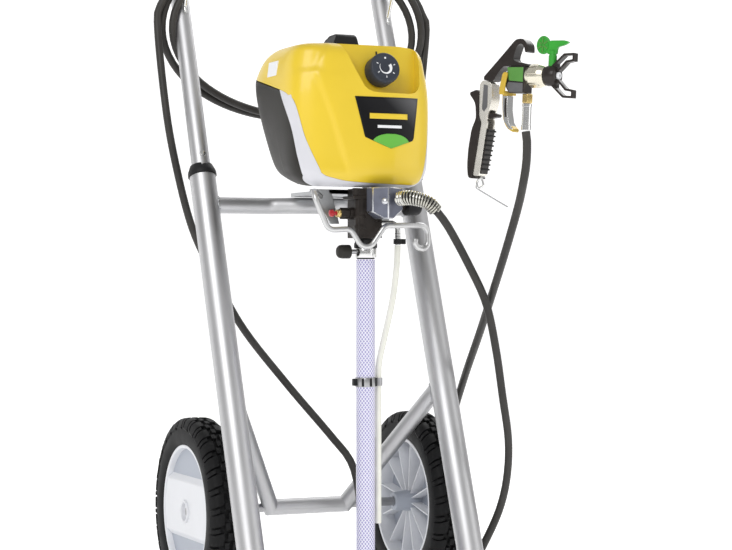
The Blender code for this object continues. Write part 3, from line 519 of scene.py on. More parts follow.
def build_stage():
    camera = linked("camera", bpy.data.cameras.new("camera"))
    camera.location = CAMERA_AT
    camera.rotation_euler = (math.pi / 2, 0, CAMERA_TURN)
    camera.data.sensor_width = CAMERA_SENSOR
    camera.data.lens = CAMERA_LENS
    bpy.context.scene.camera = camera

    # The floor curves up into a backdrop far behind, past any camera that looks from the back.
    profile = [(-BACKDROP_HALF, 0.0), (BACKDROP_Y, 0.0)]
    for i in range(1, 17):
        angle = math.radians(90 * i / 16)
        profile.append((BACKDROP_Y + BACKDROP_BEND * math.sin(angle), BACKDROP_BEND * (1 - math.cos(angle))))
    profile.append((BACKDROP_Y + BACKDROP_BEND, 8.0))
    corners, faces = [], []
    for y, z in profile:
        corners += [(-BACKDROP_HALF, y, z), (BACKDROP_HALF, y, z)]
    for i in range(len(profile) - 1):
        faces.append((2 * i, 2 * i + 1, 2 * i + 3, 2 * i + 2))
    floor_mesh = bpy.data.meshes.new("floor")
    floor_mesh.from_pydata(corners, [], faces)
    floor_mesh.shade_smooth()
    floor = linked("floor", floor_mesh)
    pale = bpy.data.materials.new("pale_floor")
    pale.use_nodes = True
    fill(pale.node_tree.nodes["Principled BSDF"], Base_Color=(0.9, 0.9, 0.9, 1), Roughness=0.9,
        Emission_Color=(1, 1, 1, 1), Emission_Strength=0.54)
    floor_mesh.materials.append(pale)

    world = bpy.data.worlds.new("studio")
    world.use_nodes = True
    fill(world.node_tree.nodes["Background"], Color=(1, 1, 1, 1), Strength=0.42)
    bpy.context.scene.world = world
    lights = (("key", (-2.0, -2.0, 2.3), 1.8, 44.0), ("fill", (2.4, -2.2, 1.2), 2.0, 15.0),
        ("rim", (1.8, 1.2, 2.4), 1.8, 26.0))
    for name, place, size, power in lights:
        light = bpy.data.lights.new(name, "AREA")
        light.size = size
        light.energy = power
        lamp = linked(name, light)
        lamp.location = place
        aim = Vector((0, 0, 0.5)) - Vector(place)
        lamp.rotation_euler = aim.to_track_quat("-Z", "Y").to_euler()
    bpy.context.scene.view_settings.view_transform = "Standard"


# Hoses

def between(knots, place):
    """The value at this place on a line through the (place, value) knots."""
    for (a, low), (b, high) in zip(knots, knots[1:]):
        if place <= b:
            return low + (high - low) * (place - a) / (b - a)
    return knots[-1][1]


def coil_place(turn):
    """A point of the hose coil. Its two and a half turns lie side by side and cross over each other."""
    angle = COIL_START - math.tau * turn
    along = between(COIL_ALONG, turn)
    across = between(COIL_ACROSS, turn)
    x = COIL_CENTRE[0] + (COIL_HALF[0] + along) * math.cos(angle)
    z = COIL_CENTRE[1] + (COIL_HALF[1] + along) * math.sin(angle)
    return (x, COIL_Y + COIL_LEAN * (z - 0.7) + across, z)


def build_hoses():
    coil = [coil_place(COIL_TURNS * i / 75) for i in range(1, 75)]
    knots = list(PUMP_RUN) + coil + list(GUN_RUN[::-1])
    route = [CART @ p for p in smooth_route(knots, 0.012)]
    hose = piece("paint_hose", swept(route, HOSE_RADIUS, 16), "hose", body=None, where=Matrix())
    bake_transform(hose)
    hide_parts("hose_pump_run", "hose_coil", "hose_gun_run")


# Cart

SIDES = (("left", -1), ("right", 1))


def on_tilt(x, y, z):
    return TILT @ Matrix.Translation((x, y, z))


def on_cart(x, y, z):
    return CART @ Matrix.Translation((x, y, z))


def meets_leg(start, direction, leg_x):
    """Where the line from start along direction reaches the leg's outer face."""
    axis = Vector((0, math.sin(LEAN), math.cos(LEAN)))
    away = start - Vector((leg_x, 0, 0))
    away -= axis * away.dot(axis)
    course = direction - axis * direction.dot(axis)
    a, b, c = course.dot(course), away.dot(course), away.dot(away) - LEG_RADIUS**2
    return start + direction * ((-b - math.sqrt(max(b * b - a * c, 0))) / a)


def weld(name, start, direction, leg_x):
    """A rippled bead round the bar's end, where it lands on the leg."""
    direction = direction.normalized()
    side = direction.cross(Vector((0, 0, 1))).normalized()
    up = direction.cross(side)
    loop = []
    for i in range(73):
        angle = math.tau * i / 72
        foot = start + (side * math.cos(angle) + up * math.sin(angle)) * (BAR_RADIUS + 0.0003)
        loop.append(meets_leg(foot, direction, leg_x))
    bead = swept(loop, lambda t: 0.0015 * (1 + 0.22 * math.sin(t * math.tau * 24)), 8)
    piece(name, bead, "cast")


def build_legs():
    for side, sign in SIDES:
        x = sign * TRACK / 2
        leg = pipe(LEG_RADIUS, 0.0153, 0.034, LEG_TOP, 72)
        piece(f"leg_tube_{side}", leg, "aluminium", f"leg_{side}", where=on_tilt(x, 0, 0), edge=0.0005)
        outline = mm((0, -30), (19.5, -30), (20.5, 0), (20.3, 14), (19.4, 32.5), (18.6, 33.7), (0, 33.7))
        foot = piece(f"rubber_foot_{side}", turned(outline, 64), "rubber", f"foot_{side}",
            where=on_tilt(x, 0, 0), edge=0.0006)
        boolean(foot, "DIFFERENCE", block((-1, -1, -0.1), (1, 1, 0.0)), Matrix())
        low, high = LEG_TOP + 0.0003, LEG_TOP + 0.015
        bore = HANDLE_RADIUS + 0.0003
        outline = [(bore, low), (0.0192, low), (0.0191, low + 0.004), (0.0186, low + 0.0065), (0.0152, high),
            (bore, high)]
        collar = piece(f"guide_collar_{side}", turned(outline, 64, closed=True), "black", f"collar_{side}",
            where=on_tilt(x, 0, 0), edge=0.0005)
        keyway = block((-0.0048, -0.016, low - 0.01), (0.0048, 0.0, high + 0.01))
        boolean(collar, "DIFFERENCE", keyway, on_tilt(x, 0, 0))


def build_handle():
    corners = [(-TRACK / 2, 0, HANDLE_BOTTOM), (-TRACK / 2, 0, HANDLE_TOP), (TRACK / 2, 0, HANDLE_TOP),
        (TRACK / 2, 0, HANDLE_BOTTOM)]
    path = rounded(corners, 0.055, 24)
    tube = piece("push_handle", swept(path, HANDLE_RADIUS, 56), "aluminium", "handle_tube", body="handle",
        where=TILT)
    for x in (-TRACK / 2, TRACK / 2):
        bore = along_y(rod(0.0043, 0.002, 0.03, 32), (x, 0, BUTTON_HEIGHT))
        boolean(tube, "DIFFERENCE", bore, TILT)
    rings = [(0.0128, -0.085), (0.0155, -0.085)]
    for i in range(15):
        middle = -0.077 + 0.011 * i
        rings += [(0.0165, middle - 0.004), (0.0165, middle + 0.0035), (0.0152, middle + 0.005),
            (0.0152, middle + 0.0056)]
    rings += [(0.0155, 0.085), (0.0128, 0.085)]
    grip = along_x(turned(rings, 56, closed=True))
    piece("foam_grip", grip, "rubber", "handle_grip", body="handle", where=on_tilt(0, 0, HANDLE_TOP),
        edge=0.0006)
    for side, sign in SIDES:
        x = sign * TRACK / 2
        front = -HANDLE_RADIUS - 0.0033
        wire = [(0, front, -0.01), (0, front, 0.0), (0, -0.05, 0.03), (0, -0.066, 0.048), (0, -0.064, 0.078)]
        hook = swept(rounded(wire, 0.01, 10), lambda t: 0.003 * min(1, 0.35 + 30 * min(t, 1 - t)), 20)
        piece(f"coil_hook_{side}", hook, "chrome", f"hose_hook_{side}", body="handle",
            where=on_tilt(x, 0, HOOK_HEIGHT))
        pin = mm((0, -3), (4, -3), (4, 0.8), (3.6, 1.5), (2.4, 1.9), (0, 2))
        piece(f"snap_button_{side}", along_y(turned(pin, 32)), "chrome", f"lock_button_{side}",
            body=f"lock_button_{side}", where=on_tilt(x, -HANDLE_RADIUS, BUTTON_HEIGHT))


def build_bars():
    lean = math.tan(LEAN)
    back = CROSSBAR_HEIGHT * lean
    x = TRACK / 2 - LEG_RADIUS + 0.0032
    bar = [(-x, back, CROSSBAR_HEIGHT), (-0.058, back, CROSSBAR_HEIGHT), (-0.03, back - 0.024, CROSSBAR_HEIGHT),
        (0.03, back - 0.024, CROSSBAR_HEIGHT), (0.058, back, CROSSBAR_HEIGHT), (x, back, CROSSBAR_HEIGHT)]
    # The crossbar wears the darker aluminium copy, painted shade.
    piece("upper_bar", swept(rounded(bar, 0.03, 12), BAR_RADIUS, 40), "aluminium_across", "crossbar")
    for side, sign in SIDES:
        weld(f"upper_weld_{side}", Vector((0, back, CROSSBAR_HEIGHT)), Vector((sign, 0, 0)), sign * TRACK / 2)

    start = Vector((TRACK / 2, BRACE_HEIGHT * lean, BRACE_HEIGHT))
    corner = Vector((BRACE_HALF, WHEEL_Y, WHEEL_RADIUS))
    reach = (start - corner).normalized()
    end = meets_leg(corner, reach, TRACK / 2) + reach * 0.0045
    past = Vector((corner.x + 0.012, 0, 0))
    low = Vector((0, corner.y, corner.z))
    brace = swept([low - past, low + past], BAR_RADIUS, 48)
    slants = []
    for sign in (1, -1):
        flip = Vector((sign, 1, 1))
        course = reach * flip
        slant = swept([end * flip, corner * flip - course * 0.012], BAR_RADIUS, 48)
        slant.verts.ensure_lookup_table()
        for vertex in slant.verts[:48]:
            landed = meets_leg(vertex.co - course * 0.05, course, sign * TRACK / 2)
            vertex.co = landed + course * 0.001
        plane = (course + Vector((sign, 0, 0))).normalized()
        mitre(brace, corner * flip, plane)
        mitre(slant, corner * flip, -plane)
        slants.append(slant)
    # The brace wears the darker aluminium copy, painted shade.
    piece("axle_brace", merged(brace, *slants), "aluminium_across", "lower_brace")
    for side, sign in SIDES:
        weld(f"brace_weld_{side}", Vector((sign * corner.x, corner.y, corner.z)),
            Vector((sign * reach.x, reach.y, reach.z)), sign * TRACK / 2)
    shaft = mm((0, -175.5), (5.2, -175.5), (6, -174.5), (6, 174.5), (5.2, 175.5), (0, 175.5))
    piece("axle_shaft", along_x(turned(shaft, 40)), "steel", "axle", where=on_cart(0, WHEEL_Y, WHEEL_RADIUS))


def mitre(mesh, place, normal):
    """Cuts off the bar beyond the plane through this place, and closes it there."""
    geometry = mesh.verts[:] + mesh.edges[:] + mesh.faces[:]
    cut = bmesh.ops.bisect_plane(mesh, geom=geometry, plane_co=place, plane_no=normal, clear_outer=True)
    rim = [item for item in cut["geom_cut"] if isinstance(item, bmesh.types.BMEdge)]
    bmesh.ops.holes_fill(mesh, edges=rim)


# Wheels

# The tread's section, as (distance from the tyre's middle, radius).
CROWN = mm((0, 125), (8, 124.9), (14, 124.4), (18, 122.4), (21, 118.2), (22.8, 111))
LUG_ROWS = 30
# Each row is a block's start and end in the tread's pitch, its two edges across and its twist.
LUGS = (
    (0, 0.6, 0.0062, 0.0226, 0.05), (0.5, 1.1, -0.0062, -0.0226, 0.05), (0.08, 0.42, -0.005, 0.0012, 0),
    (0.58, 0.92, -0.0012, 0.005, 0), (0.7, 0.92, 0.012, 0.0222, 0.05), (0.2, 0.42, -0.012, -0.0222, 0.05),
)


def crown(across):
    """The tread's radius at this distance from the tyre's middle."""
    return between(CROWN, min(abs(across), CROWN[-1][0]))


def lug(start, end, near, far, twist):
    """One tread block between two angles and two distances from the tyre's middle."""
    sections = []
    for step in range(4):
        angle = start + (end - start) * step / 3
        ring = []
        places = [near + (far - near) * i / 5 for i in range(6)]
        around = [(place, 1, 0) for place in places] + [(place, 0.84, 0.0062) for place in places[::-1]]
        for across, narrower, deeper in around:
            turn = angle + twist * (abs(across) / 0.02)
            radius = crown(across) - deeper
            ring.append((across * narrower, radius * math.cos(turn), radius * math.sin(turn)))
        sections.append(ring)
    return loft(sections)


def build_wheels():
    shoulder = mm((89.3, 18.8), (93.5, 20.8), (100, 21.8), (107, 21.6), (113.5, 20), (118, 16.5), (120, 11))
    side_profile = [(radius, -x) for radius, x in shoulder] + [(0.1206, 0.0)] + shoulder[::-1]
    for side, sign in SIDES:
        body = f"wheel_{side}"
        hub = on_cart(0, WHEEL_Y, WHEEL_RADIUS)
        mid = hub @ Matrix.Translation((sign * TYRE_X, 0, 0))
        tread = along_x(turned(side_profile, 140, closed=True))
        pitch = math.tau / LUG_ROWS
        for k in range(LUG_ROWS):
            for start, end, near, far, twist in LUGS:
                merged(tread, lug(pitch * (k + start), pitch * (k + end), near, far, twist))
        piece(f"block_tyre_{side}", tread, "tyre", f"tyre_{side}", body=body, where=mid, edge=0.0004,
            segments=1)

        ring = mm((84.2, 141.2), (88.9, 141.2), (88.9, 177.8), (84.8, 177.8), (83.8, 174), (83.5, 145))
        barrel = mm((6.6, 128), (11.8, 128), (12.5, 128.8), (14.5, 150), (14.5, 166), (6.6, 166))
        web = mm((6.6, 165.5), (84, 165.5), (84, 170), (6.6, 170))
        boss = mm((6.6, 169), (15.2, 169), (15.2, 178.6), (14.4, 179.4), (12.6, 179.4), (11.8, 178.6),
            (11.6, 173.5), (6.6, 173.5))
        # The barrel and web take the darker blue-grey, painted shade in the rim's recesses.
        rims = (("ring", ring, "white"), ("barrel", barrel, "rim_inside"), ("web", web, "rim_inside"),
            ("boss", boss, "white"))
        for label, outline, look in rims:
            shape = along_x(turned([(radius, sign * place) for radius, place in outline], 120, closed=True))
            edge = 0.0007 if look == "white" else 0.0004
            piece(f"rim_{label}_{side}", shape, look, f"rim_{side}" if label == "ring" else None, body=body,
                where=hub, edge=edge)
        ribs = bmesh.new()
        for k in range(12):
            turn = Matrix.Rotation(math.tau * (k + 0.35) / 12, 4, "X")
            points = [(sign * 0.15, 0.013), (sign * 0.1665, 0.013), (sign * 0.1665, 0.0842),
                (sign * 0.147, 0.0842)]
            merged(ribs, moved(prism(points, -0.0008, 0.0008), turn=turn))
        piece(f"rim_ribs_{side}", ribs, "white", body=body, where=hub, edge=0.0002, segments=1)
        sections = []
        reach = 0.0842
        for place, low, high in ((0.169, -0.0385, 0.0475), (0.1768, -0.03, 0.0395)):
            start, end = math.asin(low / reach), math.asin(high / reach)
            arc = [start + (end - start) * i / 16 for i in range(17)]
            outline = [(reach * math.cos(t), reach * math.sin(t)) for t in arc]
            outline += [(-reach * math.cos(t), reach * math.sin(t)) for t in reversed(arc)]
            sections.append([(sign * place, y, z) for y, z in outline])
        plate = piece(f"rim_face_{side}", loft(sections), "white", body=body, where=hub, edge=0.0014,
            segments=3)
        boolean(plate, "DIFFERENCE", along_x(rod(0.012, -0.2, 0.2, 48)), hub)


# Housing

# Each row is a height, the half width, the front, the back, the rise towards the back and the taper.
HOUSING = ((0.5525, 0.078, 0.03, 0.12, 0.09, 0.22), (0.558, 0.088, 0.021, 0.142, 0.085, 0.22),
    (0.57, 0.096, 0.015, 0.157, 0.05, 0.2), (0.59, 0.0995, 0.013, 0.168, 0.02, 0.17),
    (0.63, 0.1005, 0.012, 0.184, 0.0, 0.1), (0.665, 0.1005, 0.0125, 0.195, 0.0, 0.04),
    (0.688, 0.0985, 0.014, 0.2, 0.0, 0.0), (0.702, 0.0965, 0.0165, 0.2, 0.0, 0.0),
    (0.722, 0.092, 0.021, 0.178, 0.0, 0.0), (0.733, 0.084, 0.03, 0.148, 0.0, 0.0),
    (0.737, 0.07, 0.043, 0.122, 0.0, 0.0))
COVER_EDGE = mm((250, 704.4), (180, 700.4), (73, 677.8), (48, 669), (40, 663), (40, 600), (30, 560), (30, 500))
CASE_EDGE = mm((73.5, 676.8), (44, 630.7), (33, 588), (31.5, 566.5), (37.5, 556), (37.5, 500))
COVER_FRONT = mm((-125, 670), (-98.5, 666), (-93.5, 660), (-83, 614.4), (-66.5, 576.1), (-61.5, 568),
    (-48, 563.5), (-17, 559), (69, 556.5), (77.5, 562), (82, 580), (86.8, 605), (90.5, 635), (94, 656),
    (98.5, 666), (125, 670), (125, 800), (-125, 800))
HOUSING_LEVELS, HOUSING_SIDES = 64, 240
SQUARENESS = 4.6  # the power in the housing's rounded rectangles
KNOB_AT = (0.0235, 0.038, 0.7005)
FACE = Matrix.Rotation(math.radians(-12), 4, "X")


def housing_part(share):
    """The housing's measures at this share of the way up, from a smooth curve through its rows."""
    place = share * (len(HOUSING) - 1)
    i = min(int(place), len(HOUSING) - 2)
    t = place - i
    a, b, c, d = [Vector(HOUSING[min(max(i + k, 0), len(HOUSING) - 1)]) for k in (-1, 0, 1, 2)]
    return 0.5 * (2 * b + (c - a) * t + (2 * a - 5 * b + 4 * c - d) * t**2 + (3 * b - a - 3 * c + d) * t**3)


# The front's ridge, as (height, x).
RIDGE = mm((500, -10), (578.3, -26.4), (641.4, -47.2), (697.8, -68), (715, -60), (733.1, -47.2), (750, -40))
# The label's left and right edges, as (height, x).
LABEL_LEFT = mm((604.2, 30), (618.5, -6.4), (670.2, -20.3))
LABEL_RIGHT = mm((604.2, 30), (615.4, 62.6), (724, 76.8))


def eased(value):
    value = min(1.0, max(0.0, value))
    return value * value * (3 - 2 * value)


def sculpted(x, y, z, middle):
    """The front's moulded relief: a lowered field left of the ridge, a keel and a scallop."""
    if y > middle:
        return (x, y, z)
    ridge = between(RIDGE, z)
    field = eased((ridge - x) / 0.0075) * eased((x + 0.099) / 0.018) * eased((z - 0.56) / 0.03)
    keel = max(0.0, 1 - abs(x - 0.0345) / 0.045) * eased((0.612 - z) / 0.02) * eased((z - 0.556) / 0.012)
    scallop = eased((z - 0.695) / 0.012) * eased((0.73 - z) / 0.01)
    scallop *= eased((-0.056 - x) / 0.012) * eased((x + 0.096) / 0.01)
    return (x, y + 0.003 * field - 0.002 * keel + 0.0022 * scallop, z)


def housing():
    """The whole housing's outer form, lofted through even points on rounded rectangles."""
    sections = []
    for level in range(HOUSING_LEVELS + 1):
        height, half_width, front, back, rise, taper = housing_part(level / HOUSING_LEVELS)
        middle, half_depth = (front + back) / 2, (back - front) / 2
        ring = []
        for i in range(1441):
            angle = math.tau * i / 1440
            c, s = math.cos(angle), math.sin(angle)
            y = middle + half_depth * math.copysign(abs(s) ** (2 / SQUARENESS), s)
            narrowing = 1 - taper * (y - front) / (back - front)
            x = narrowing * half_width * math.copysign(abs(c) ** (2 / SQUARENESS), c)
            ring.append(Vector((x, y, height + rise * (y - front))))
        sections.append([sculpted(*point, middle) for point in evenly(ring, count=HOUSING_SIDES)])
    return loft(sections)


def front_face(x, z):
    """The y of the housing's front at this place."""
    low, high = 0.0, 1.0
    for _ in range(40):
        share = (low + high) / 2
        if housing_part(share)[0] < z:
            low = share
        else:
            high = share
    _, half_width, front, back, _, _ = housing_part((low + high) / 2)
    middle, half_depth = (front + back) / 2, (back - front) / 2
    y = middle - half_depth * (1 - min(0.999, abs(x) / half_width) ** SQUARENESS) ** (1 / SQUARENESS)
    return sculpted(x, y, z, middle)[1]


def front_patch(name, rows, look, lift):
    """A thin panel laid on the housing's front. Each row is its left end, right end and height."""
    mesh = bmesh.new()
    grid = []
    for left, right, z in rows:
        places = [left + (right - left) * i / 24 for i in range(25)]
        grid.append([mesh.verts.new((x, front_face(x, z) - lift, z)) for x in places])
    for low, high in zip(grid, grid[1:]):
        for i in range(24):
            mesh.faces.new((low[i], low[i + 1], high[i + 1], high[i]))
    made = piece(name, mesh, look, slot="dark_plastic", smooth=60)
    thick = made.modifiers.new("thick", "SOLIDIFY")
    thick.thickness = 0.0003
    thick.offset = 0


def smooth_outline(points, corners):
    """The (a, b) outline smoothed, then closed by its plain corners."""
    route = smooth_route([(a, 0, b) for a, b in points], 0.004)
    return [(p.x, p.z) for p in route] + list(corners)


def side_prism(outline):
    swap = Matrix(((0, 1, 0, 0), (1, 0, 0, 0), (0, 0, 1, 0), (0, 0, 0, 1)))
    return moved(prism(outline, -0.12, 0.12), turn=swap)


def lowered(rows):
    """The label's (left, right, z) rows, set a little down the front."""
    return [(left, right, z - 0.0025) for left, right, z in rows]


def build_housing():
    cover = smooth_outline(COVER_EDGE, mm((-50, 500), (-50, 800), (250, 800)))
    case = mm((250, 500), (250, 704), (180, 700)) + smooth_outline(CASE_EDGE, [])
    before_case = [(y - 0.0004, z) for y, z in smooth_outline(CASE_EDGE, [])]
    band = before_case[:1] + mm((72, 700), (-50, 700), (-50, 500)) + before_case[:0:-1]
    front = smooth_outline(COVER_FRONT[:16], COVER_FRONT[16:])

    shell = piece("yellow_cover", housing(), "yellow", "front_cover", edge=0.0009, segments=3)
    boolean(shell, "INTERSECT", side_prism(cover))
    boolean(shell, "INTERSECT", prism(front, -0.1, 0.3))
    recess = mm((-43, 90), (-34.5, 68), (-21.2, 36.8), (-10.5, 16), (-6.2, 8.5), (-1.5, 4), (6, 1.2), (16, 0.4),
        (56, 0.2), (65, 2), (70.5, 6.5), (73.8, 13), (76.5, 40), (78.5, 90))
    boolean(shell, "DIFFERENCE", moved(prism(recess, -0.06, 0.0), (0, 0.0315, 0.669), FACE))
    spindle = along_y(rod(0.0055, -0.012, 0.03, 32))
    boolean(shell, "DIFFERENCE", moved(spindle, KNOB_AT, FACE))

    space = piece("cover_space", side_prism([(y + 0.0003, z - 0.0003) for y, z in cover]), "grey", slot="",
        body=None)
    boolean(space, "INTERSECT", prism([(x * 1.004, z - 0.0003) for x, z in front], -0.1, 0.3))
    for name, outline, look, node in (("grey_band", band, "grey", "middle_band"),
            ("dark_case", case, "dark", "rear_case")):
        part = piece(name, housing(), look, node, edge=0.0007, segments=2)
        boolean(part, "INTERSECT", side_prism(outline))
        boolean(part, "DIFFERENCE", space)
    bpy.data.objects.remove(space)

    lid = mm((86, 737.6), (92, 751.5), (94.5, 754.5), (100, 756.3), (118, 755.8), (124, 754.6), (127.5, 751),
        (136, 737.6))
    handle = side_prism(lid)
    bmesh.ops.scale(handle, vec=(0.0195 / 0.12, 1, 1), verts=handle.verts[:])
    for corner in handle.verts:
        if corner.co.z > 0.745:
            corner.co.x += 0.0085 if corner.co.x < 0 else -0.0015
    piece("lid_grip", handle, "black", "carry_lid", edge=0.0018, segments=3)

    shield = []
    for i in range(20):
        z = 0.6046 + 0.0654 * i / 19
        shield.append((between(LABEL_LEFT, z), between(LABEL_RIGHT, z), z))
    front_patch("front_label", lowered(shield), "label", 0.0003)
    leaf = []
    for i in range(14):
        z = 0.6048 + 0.0184 * i / 13
        half = 0.0265 * math.sqrt(1 - (max(0.0, z - 0.6105) / 0.013) ** 2)
        left, right = between(LABEL_LEFT, z) + 0.0002, between(LABEL_RIGHT, z) - 0.0002
        leaf.append((max(0.03 - half, left), min(0.03 + half, right), z))
    front_patch("label_leaf", lowered(leaf), "leaf_bright", 0.0007)
    front_patch("label_bar", [(0.0, 0.0535, 0.6395 + 0.0014 * i) for i in range(6)], "yellow", 0.0007)
    front_patch("label_line", [(0.011, 0.045, 0.628 + 0.0012 * i) for i in range(4)], "mark", 0.0007)

    place = Matrix.Translation(KNOB_AT) @ FACE
    dial = mm((0, -8), (5, -8), (5, 2.5), (19.6, 2.5), (20.4, 3.3), (20.4, 21.5), (20, 23.4), (19, 24.8),
        (17.4, 25.5), (16.6, 25.3), (0, 25.3))
    piece("dial", along_y(turned(dial, 96)), "knob", "pressure_knob", body="pressure_knob", where=CART @ place)
    for name, outline in dial_marks():
        piece(name, prism(outline, -0.0257, -0.025), "mark", body="pressure_knob", where=CART @ place)
    pointer = prism(mm((-0.9, 23.8), (0.9, 23.8), (0.9, 29), (-0.9, 29)), -0.0008, 0.0004)
    piece("dial_index", pointer, "dark", where=CART @ place)
    corners = mm((-95, 89, 716.5), (-95, 120, 716.5), (-97.4, 120, 697.5), (-97.4, 89, 697.5))
    plate = loft([[(x + out, y, z) for x, y, z in corners] for out in (-0.0006, 0.004)])
    piece("side_plate", plate, "mark", edge=0.0004)


def dial_marks():
    """The dial's crescent, its ticks and its dot, as outlines on its face."""
    outer, inner = [], []
    for i in range(33):
        share = i / 32
        angle = math.radians(150 + 245 * share)
        width = 0.0004 + 0.004 * share**1.3
        outer.append((0.0088 * math.cos(angle), 0.0088 * math.sin(angle)))
        inner.append(((0.0088 - width) * math.cos(angle), (0.0088 - width) * math.sin(angle)))
    marks = [("dial_crescent", outer + inner[::-1])]
    for k, degrees in enumerate((155, 212, 270, 325, 18)):
        angle = math.radians(degrees)
        out, side = (math.cos(angle), math.sin(angle)), (-math.sin(angle), math.cos(angle))
        tick = []
        for reach, half in mm((11.2, -0.5), (13.8, -0.5), (13.8, 0.5), (11.2, 0.5)):
            tick.append((out[0] * reach + side[0] * half, out[1] * reach + side[1] * half))
        marks.append((f"dial_tick_{k}", tick))
    turns = [math.tau * i / 24 for i in range(24)]
    dot = [(0.0013 * math.cos(turn), 0.0126 + 0.0013 * math.sin(turn)) for turn in turns]
    return marks + [("dial_dot", dot)]


# Pump

def bevel_with_highlight(made, width):
    """A wide bevel in a lighter metal: a painted highlight along the edges."""
    made.data.materials.append(LOOK["bare_edge"])
    bevel(made, "machined", width, 1, 25).material = 1


def build_pump():
    for name, shape in (("pump_body", block((-0.011, 0.0215, 0.4875), (0.0218, 0.0578, 0.551))),
            ("pump_flange", block((-0.0178, 0.0205, 0.537), (0.0216, 0.0575, 0.5412)))):
        bored = piece(name, shape, "black_metal", edge=0.0007)
        boolean(bored, "DIFFERENCE", moved(rod(0.0056, 0.53, 0.56, 40), (PUMP_X, PUMP_Y, 0)))
    casting = along_x(rod(0.0078, -0.0176, 0.001, 6), (0, PUMP_Y, PUSHER_HEIGHT))
    rods = (
        (0.0052, 0.5412, 0.5512, 32, -0.0112, 0.028), (0.0058, 0.5412, 0.5512, 32, 0.0012, 0.0268),
        (0.0075, 0.4895, 0.537, 40, -0.0052, 0.0285), (0.0088, 0.499, 0.5035, 40, -0.0052, 0.029),
        (0.0088, 0.512, 0.516, 40, -0.0052, 0.029), (0.015, 0.487, 0.4905, 40, PUMP_X, PUMP_Y),
    )
    for radius, low, high, sides, x, y in rods:
        merged(casting, moved(rod(radius, low, high, sides), (x, y, 0)))
    for k in range(4):
        top, foot = 0.006 + 0.0035 * k, 0.012 + 0.0022 * k
        fin = [(top, 0.533), (top + 0.0014, 0.533), (foot + 0.0014, 0.508), (foot, 0.508)]
        merged(casting, prism(fin, 0.0192, 0.023))
    piece("pump_casting", casting, "black_metal", "pump_block", edge=0.0006)

    ridge, left, right = mm((14.7, -14), (-1, 0), (41.5, 0))
    plan = [ridge, left, (left[0], 0.0197), (right[0], 0.0197), right]
    wedge = loft([[(x, y, z) for x, y in plan] for z in (0.505, 0.5513)])
    outlet = piece("outlet_head", wedge, "blue_grey", "outlet_block")
    profile = mm((-10, 560), (-10, 527), (10, 511.5), (24, 511.5), (50, 530), (50, 560))
    boolean(outlet, "INTERSECT", prism(profile, -0.03, 0.03))
    # The lighter metal on the bevel is a painted edge highlight.
    bevel_with_highlight(outlet, 0.0011)
    aim = Vector((-0.62, -0.72, 0.1)).to_track_quat("Z", "Y").to_matrix().to_4x4()
    cap = mm((0, -6), (4.2, -6), (4.6, 0.8), (4.2, 2.6), (2.8, 3.8), (0, 4.2))
    piece("outlet_bolt", moved(turned(cap, 40), (0.0118, -0.01, 0.5335), aim), "bare_edge")

    guard = mm((29.7, -12.6, 537), (40, -29, 537.5), (57, -39, 532), (69, -40.2, 521.5))
    route = smooth_route(guard, 0.00022)
    turns = 17
    wire = []
    for i, (point, side, up) in enumerate(frames(route)):
        angle = math.tau * turns * i / (len(route) - 1)
        wire.append(point + side * (0.0082 * math.cos(angle)) + up * (0.0082 * math.sin(angle)))
    piece("guard_coil", swept(wire, 0.0013, 8), "spring", "spring_guard")
    core = smooth_route(guard, 0.003)
    piece("guard_core", swept(core, 0.0064, 32), "black")
    piece("guard_ferrule", swept(core[:4], 0.0088, 40), "chrome", edge=0.0005)

    turn = Matrix.Translation((-0.0183, PUMP_Y, PUSHER_HEIGHT)) @ Matrix.Rotation(-math.pi / 2, 4, "Y")
    hexagon = mm((3.1, 0), (7.5, 0), (7.5, 11.5), (3.1, 11.5))
    neck = mm((3.1, 11.2), (5.4, 11.2), (5.4, 13.6), (4.8, 14.2), (4.8, 16.8), (3.1, 16.8))
    piece("pusher_hex", turned(hexagon, 6, closed=True), "black_metal", "pusher_body", where=CART @ turn,
        edge=0.0005)
    piece("pusher_neck", turned(neck, 40, closed=True), "brass", where=CART @ turn, edge=0.0002)
    button = mm((0, -12), (2.7, -12), (2.7, 0), (4.4, 0), (4.8, 0.8), (4.8, 1.8), (4.2, 4.4), (3, 5.3),
        (0, 5.5))
    cap_turn = Matrix.Translation((-0.0395, PUMP_Y, PUSHER_HEIGHT)) @ Matrix.Rotation(-math.pi / 2, 4, "Y")
    piece("red_button", turned(button, 48), "red", "pusher_button", body="pusher_button", where=CART @ cap_turn)

    x, y, z = 0.058, 0.03, 0.53
    stem = [(0, 0), (0.0085, 0), (0.0085, 0.01), (0.0078, 0.012), (0.006, 0.014), (0.006, x - 0.0226),
        (0, x - 0.0226)]
    piece("prime_stem", along_x(turned(stem, 48), (0.0223, y, z)), "black_metal", "prime_valve", edge=0.0004)
    knob = mm((0, 0), (12.2, 0), (13.1, 1), (13.5, 4), (12.8, 16.5), (12, 19), (10, 20.8), (0, 21))
    grip = merged(along_x(turned(knob, 64)), block((0.003, -0.005, 0.0), (0.018, 0.005, 0.0184)))
    piece("prime_grip", grip, "black", "prime_knob", body="prime_knob", where=on_cart(x, y, z), edge=0.0008,
        segments=3)

    elbow = mm((22.8, 40, 507), (50.5, 36, 507), (50.5, 36, 479))
    barb = swept(rounded(elbow, 0.008, 12), 0.0036, 32)
    for height in (0.4806, 0.4846, 0.4886, 0.4926):
        ridge_ring = [(0.003, height), (0.0041, height + 0.0004), (0.0032, height + 0.003),
            (0.003, height + 0.003)]
        merged(barb, moved(turned(ridge_ring, 32, closed=True), (RETURN_X, RETURN_Y, 0)))
    piece("return_barb", barb, "chrome", "return_fitting")
    clip = merged(pipe(0.0054, 0.0043, 0.48, 0.4868, 32),
        block((0.0048, -0.003, 0.48), (0.0105, 0.003, 0.4868)))
    piece("return_clamp", clip, "black", where=on_cart(RETURN_X, RETURN_Y, 0), edge=0.0004)


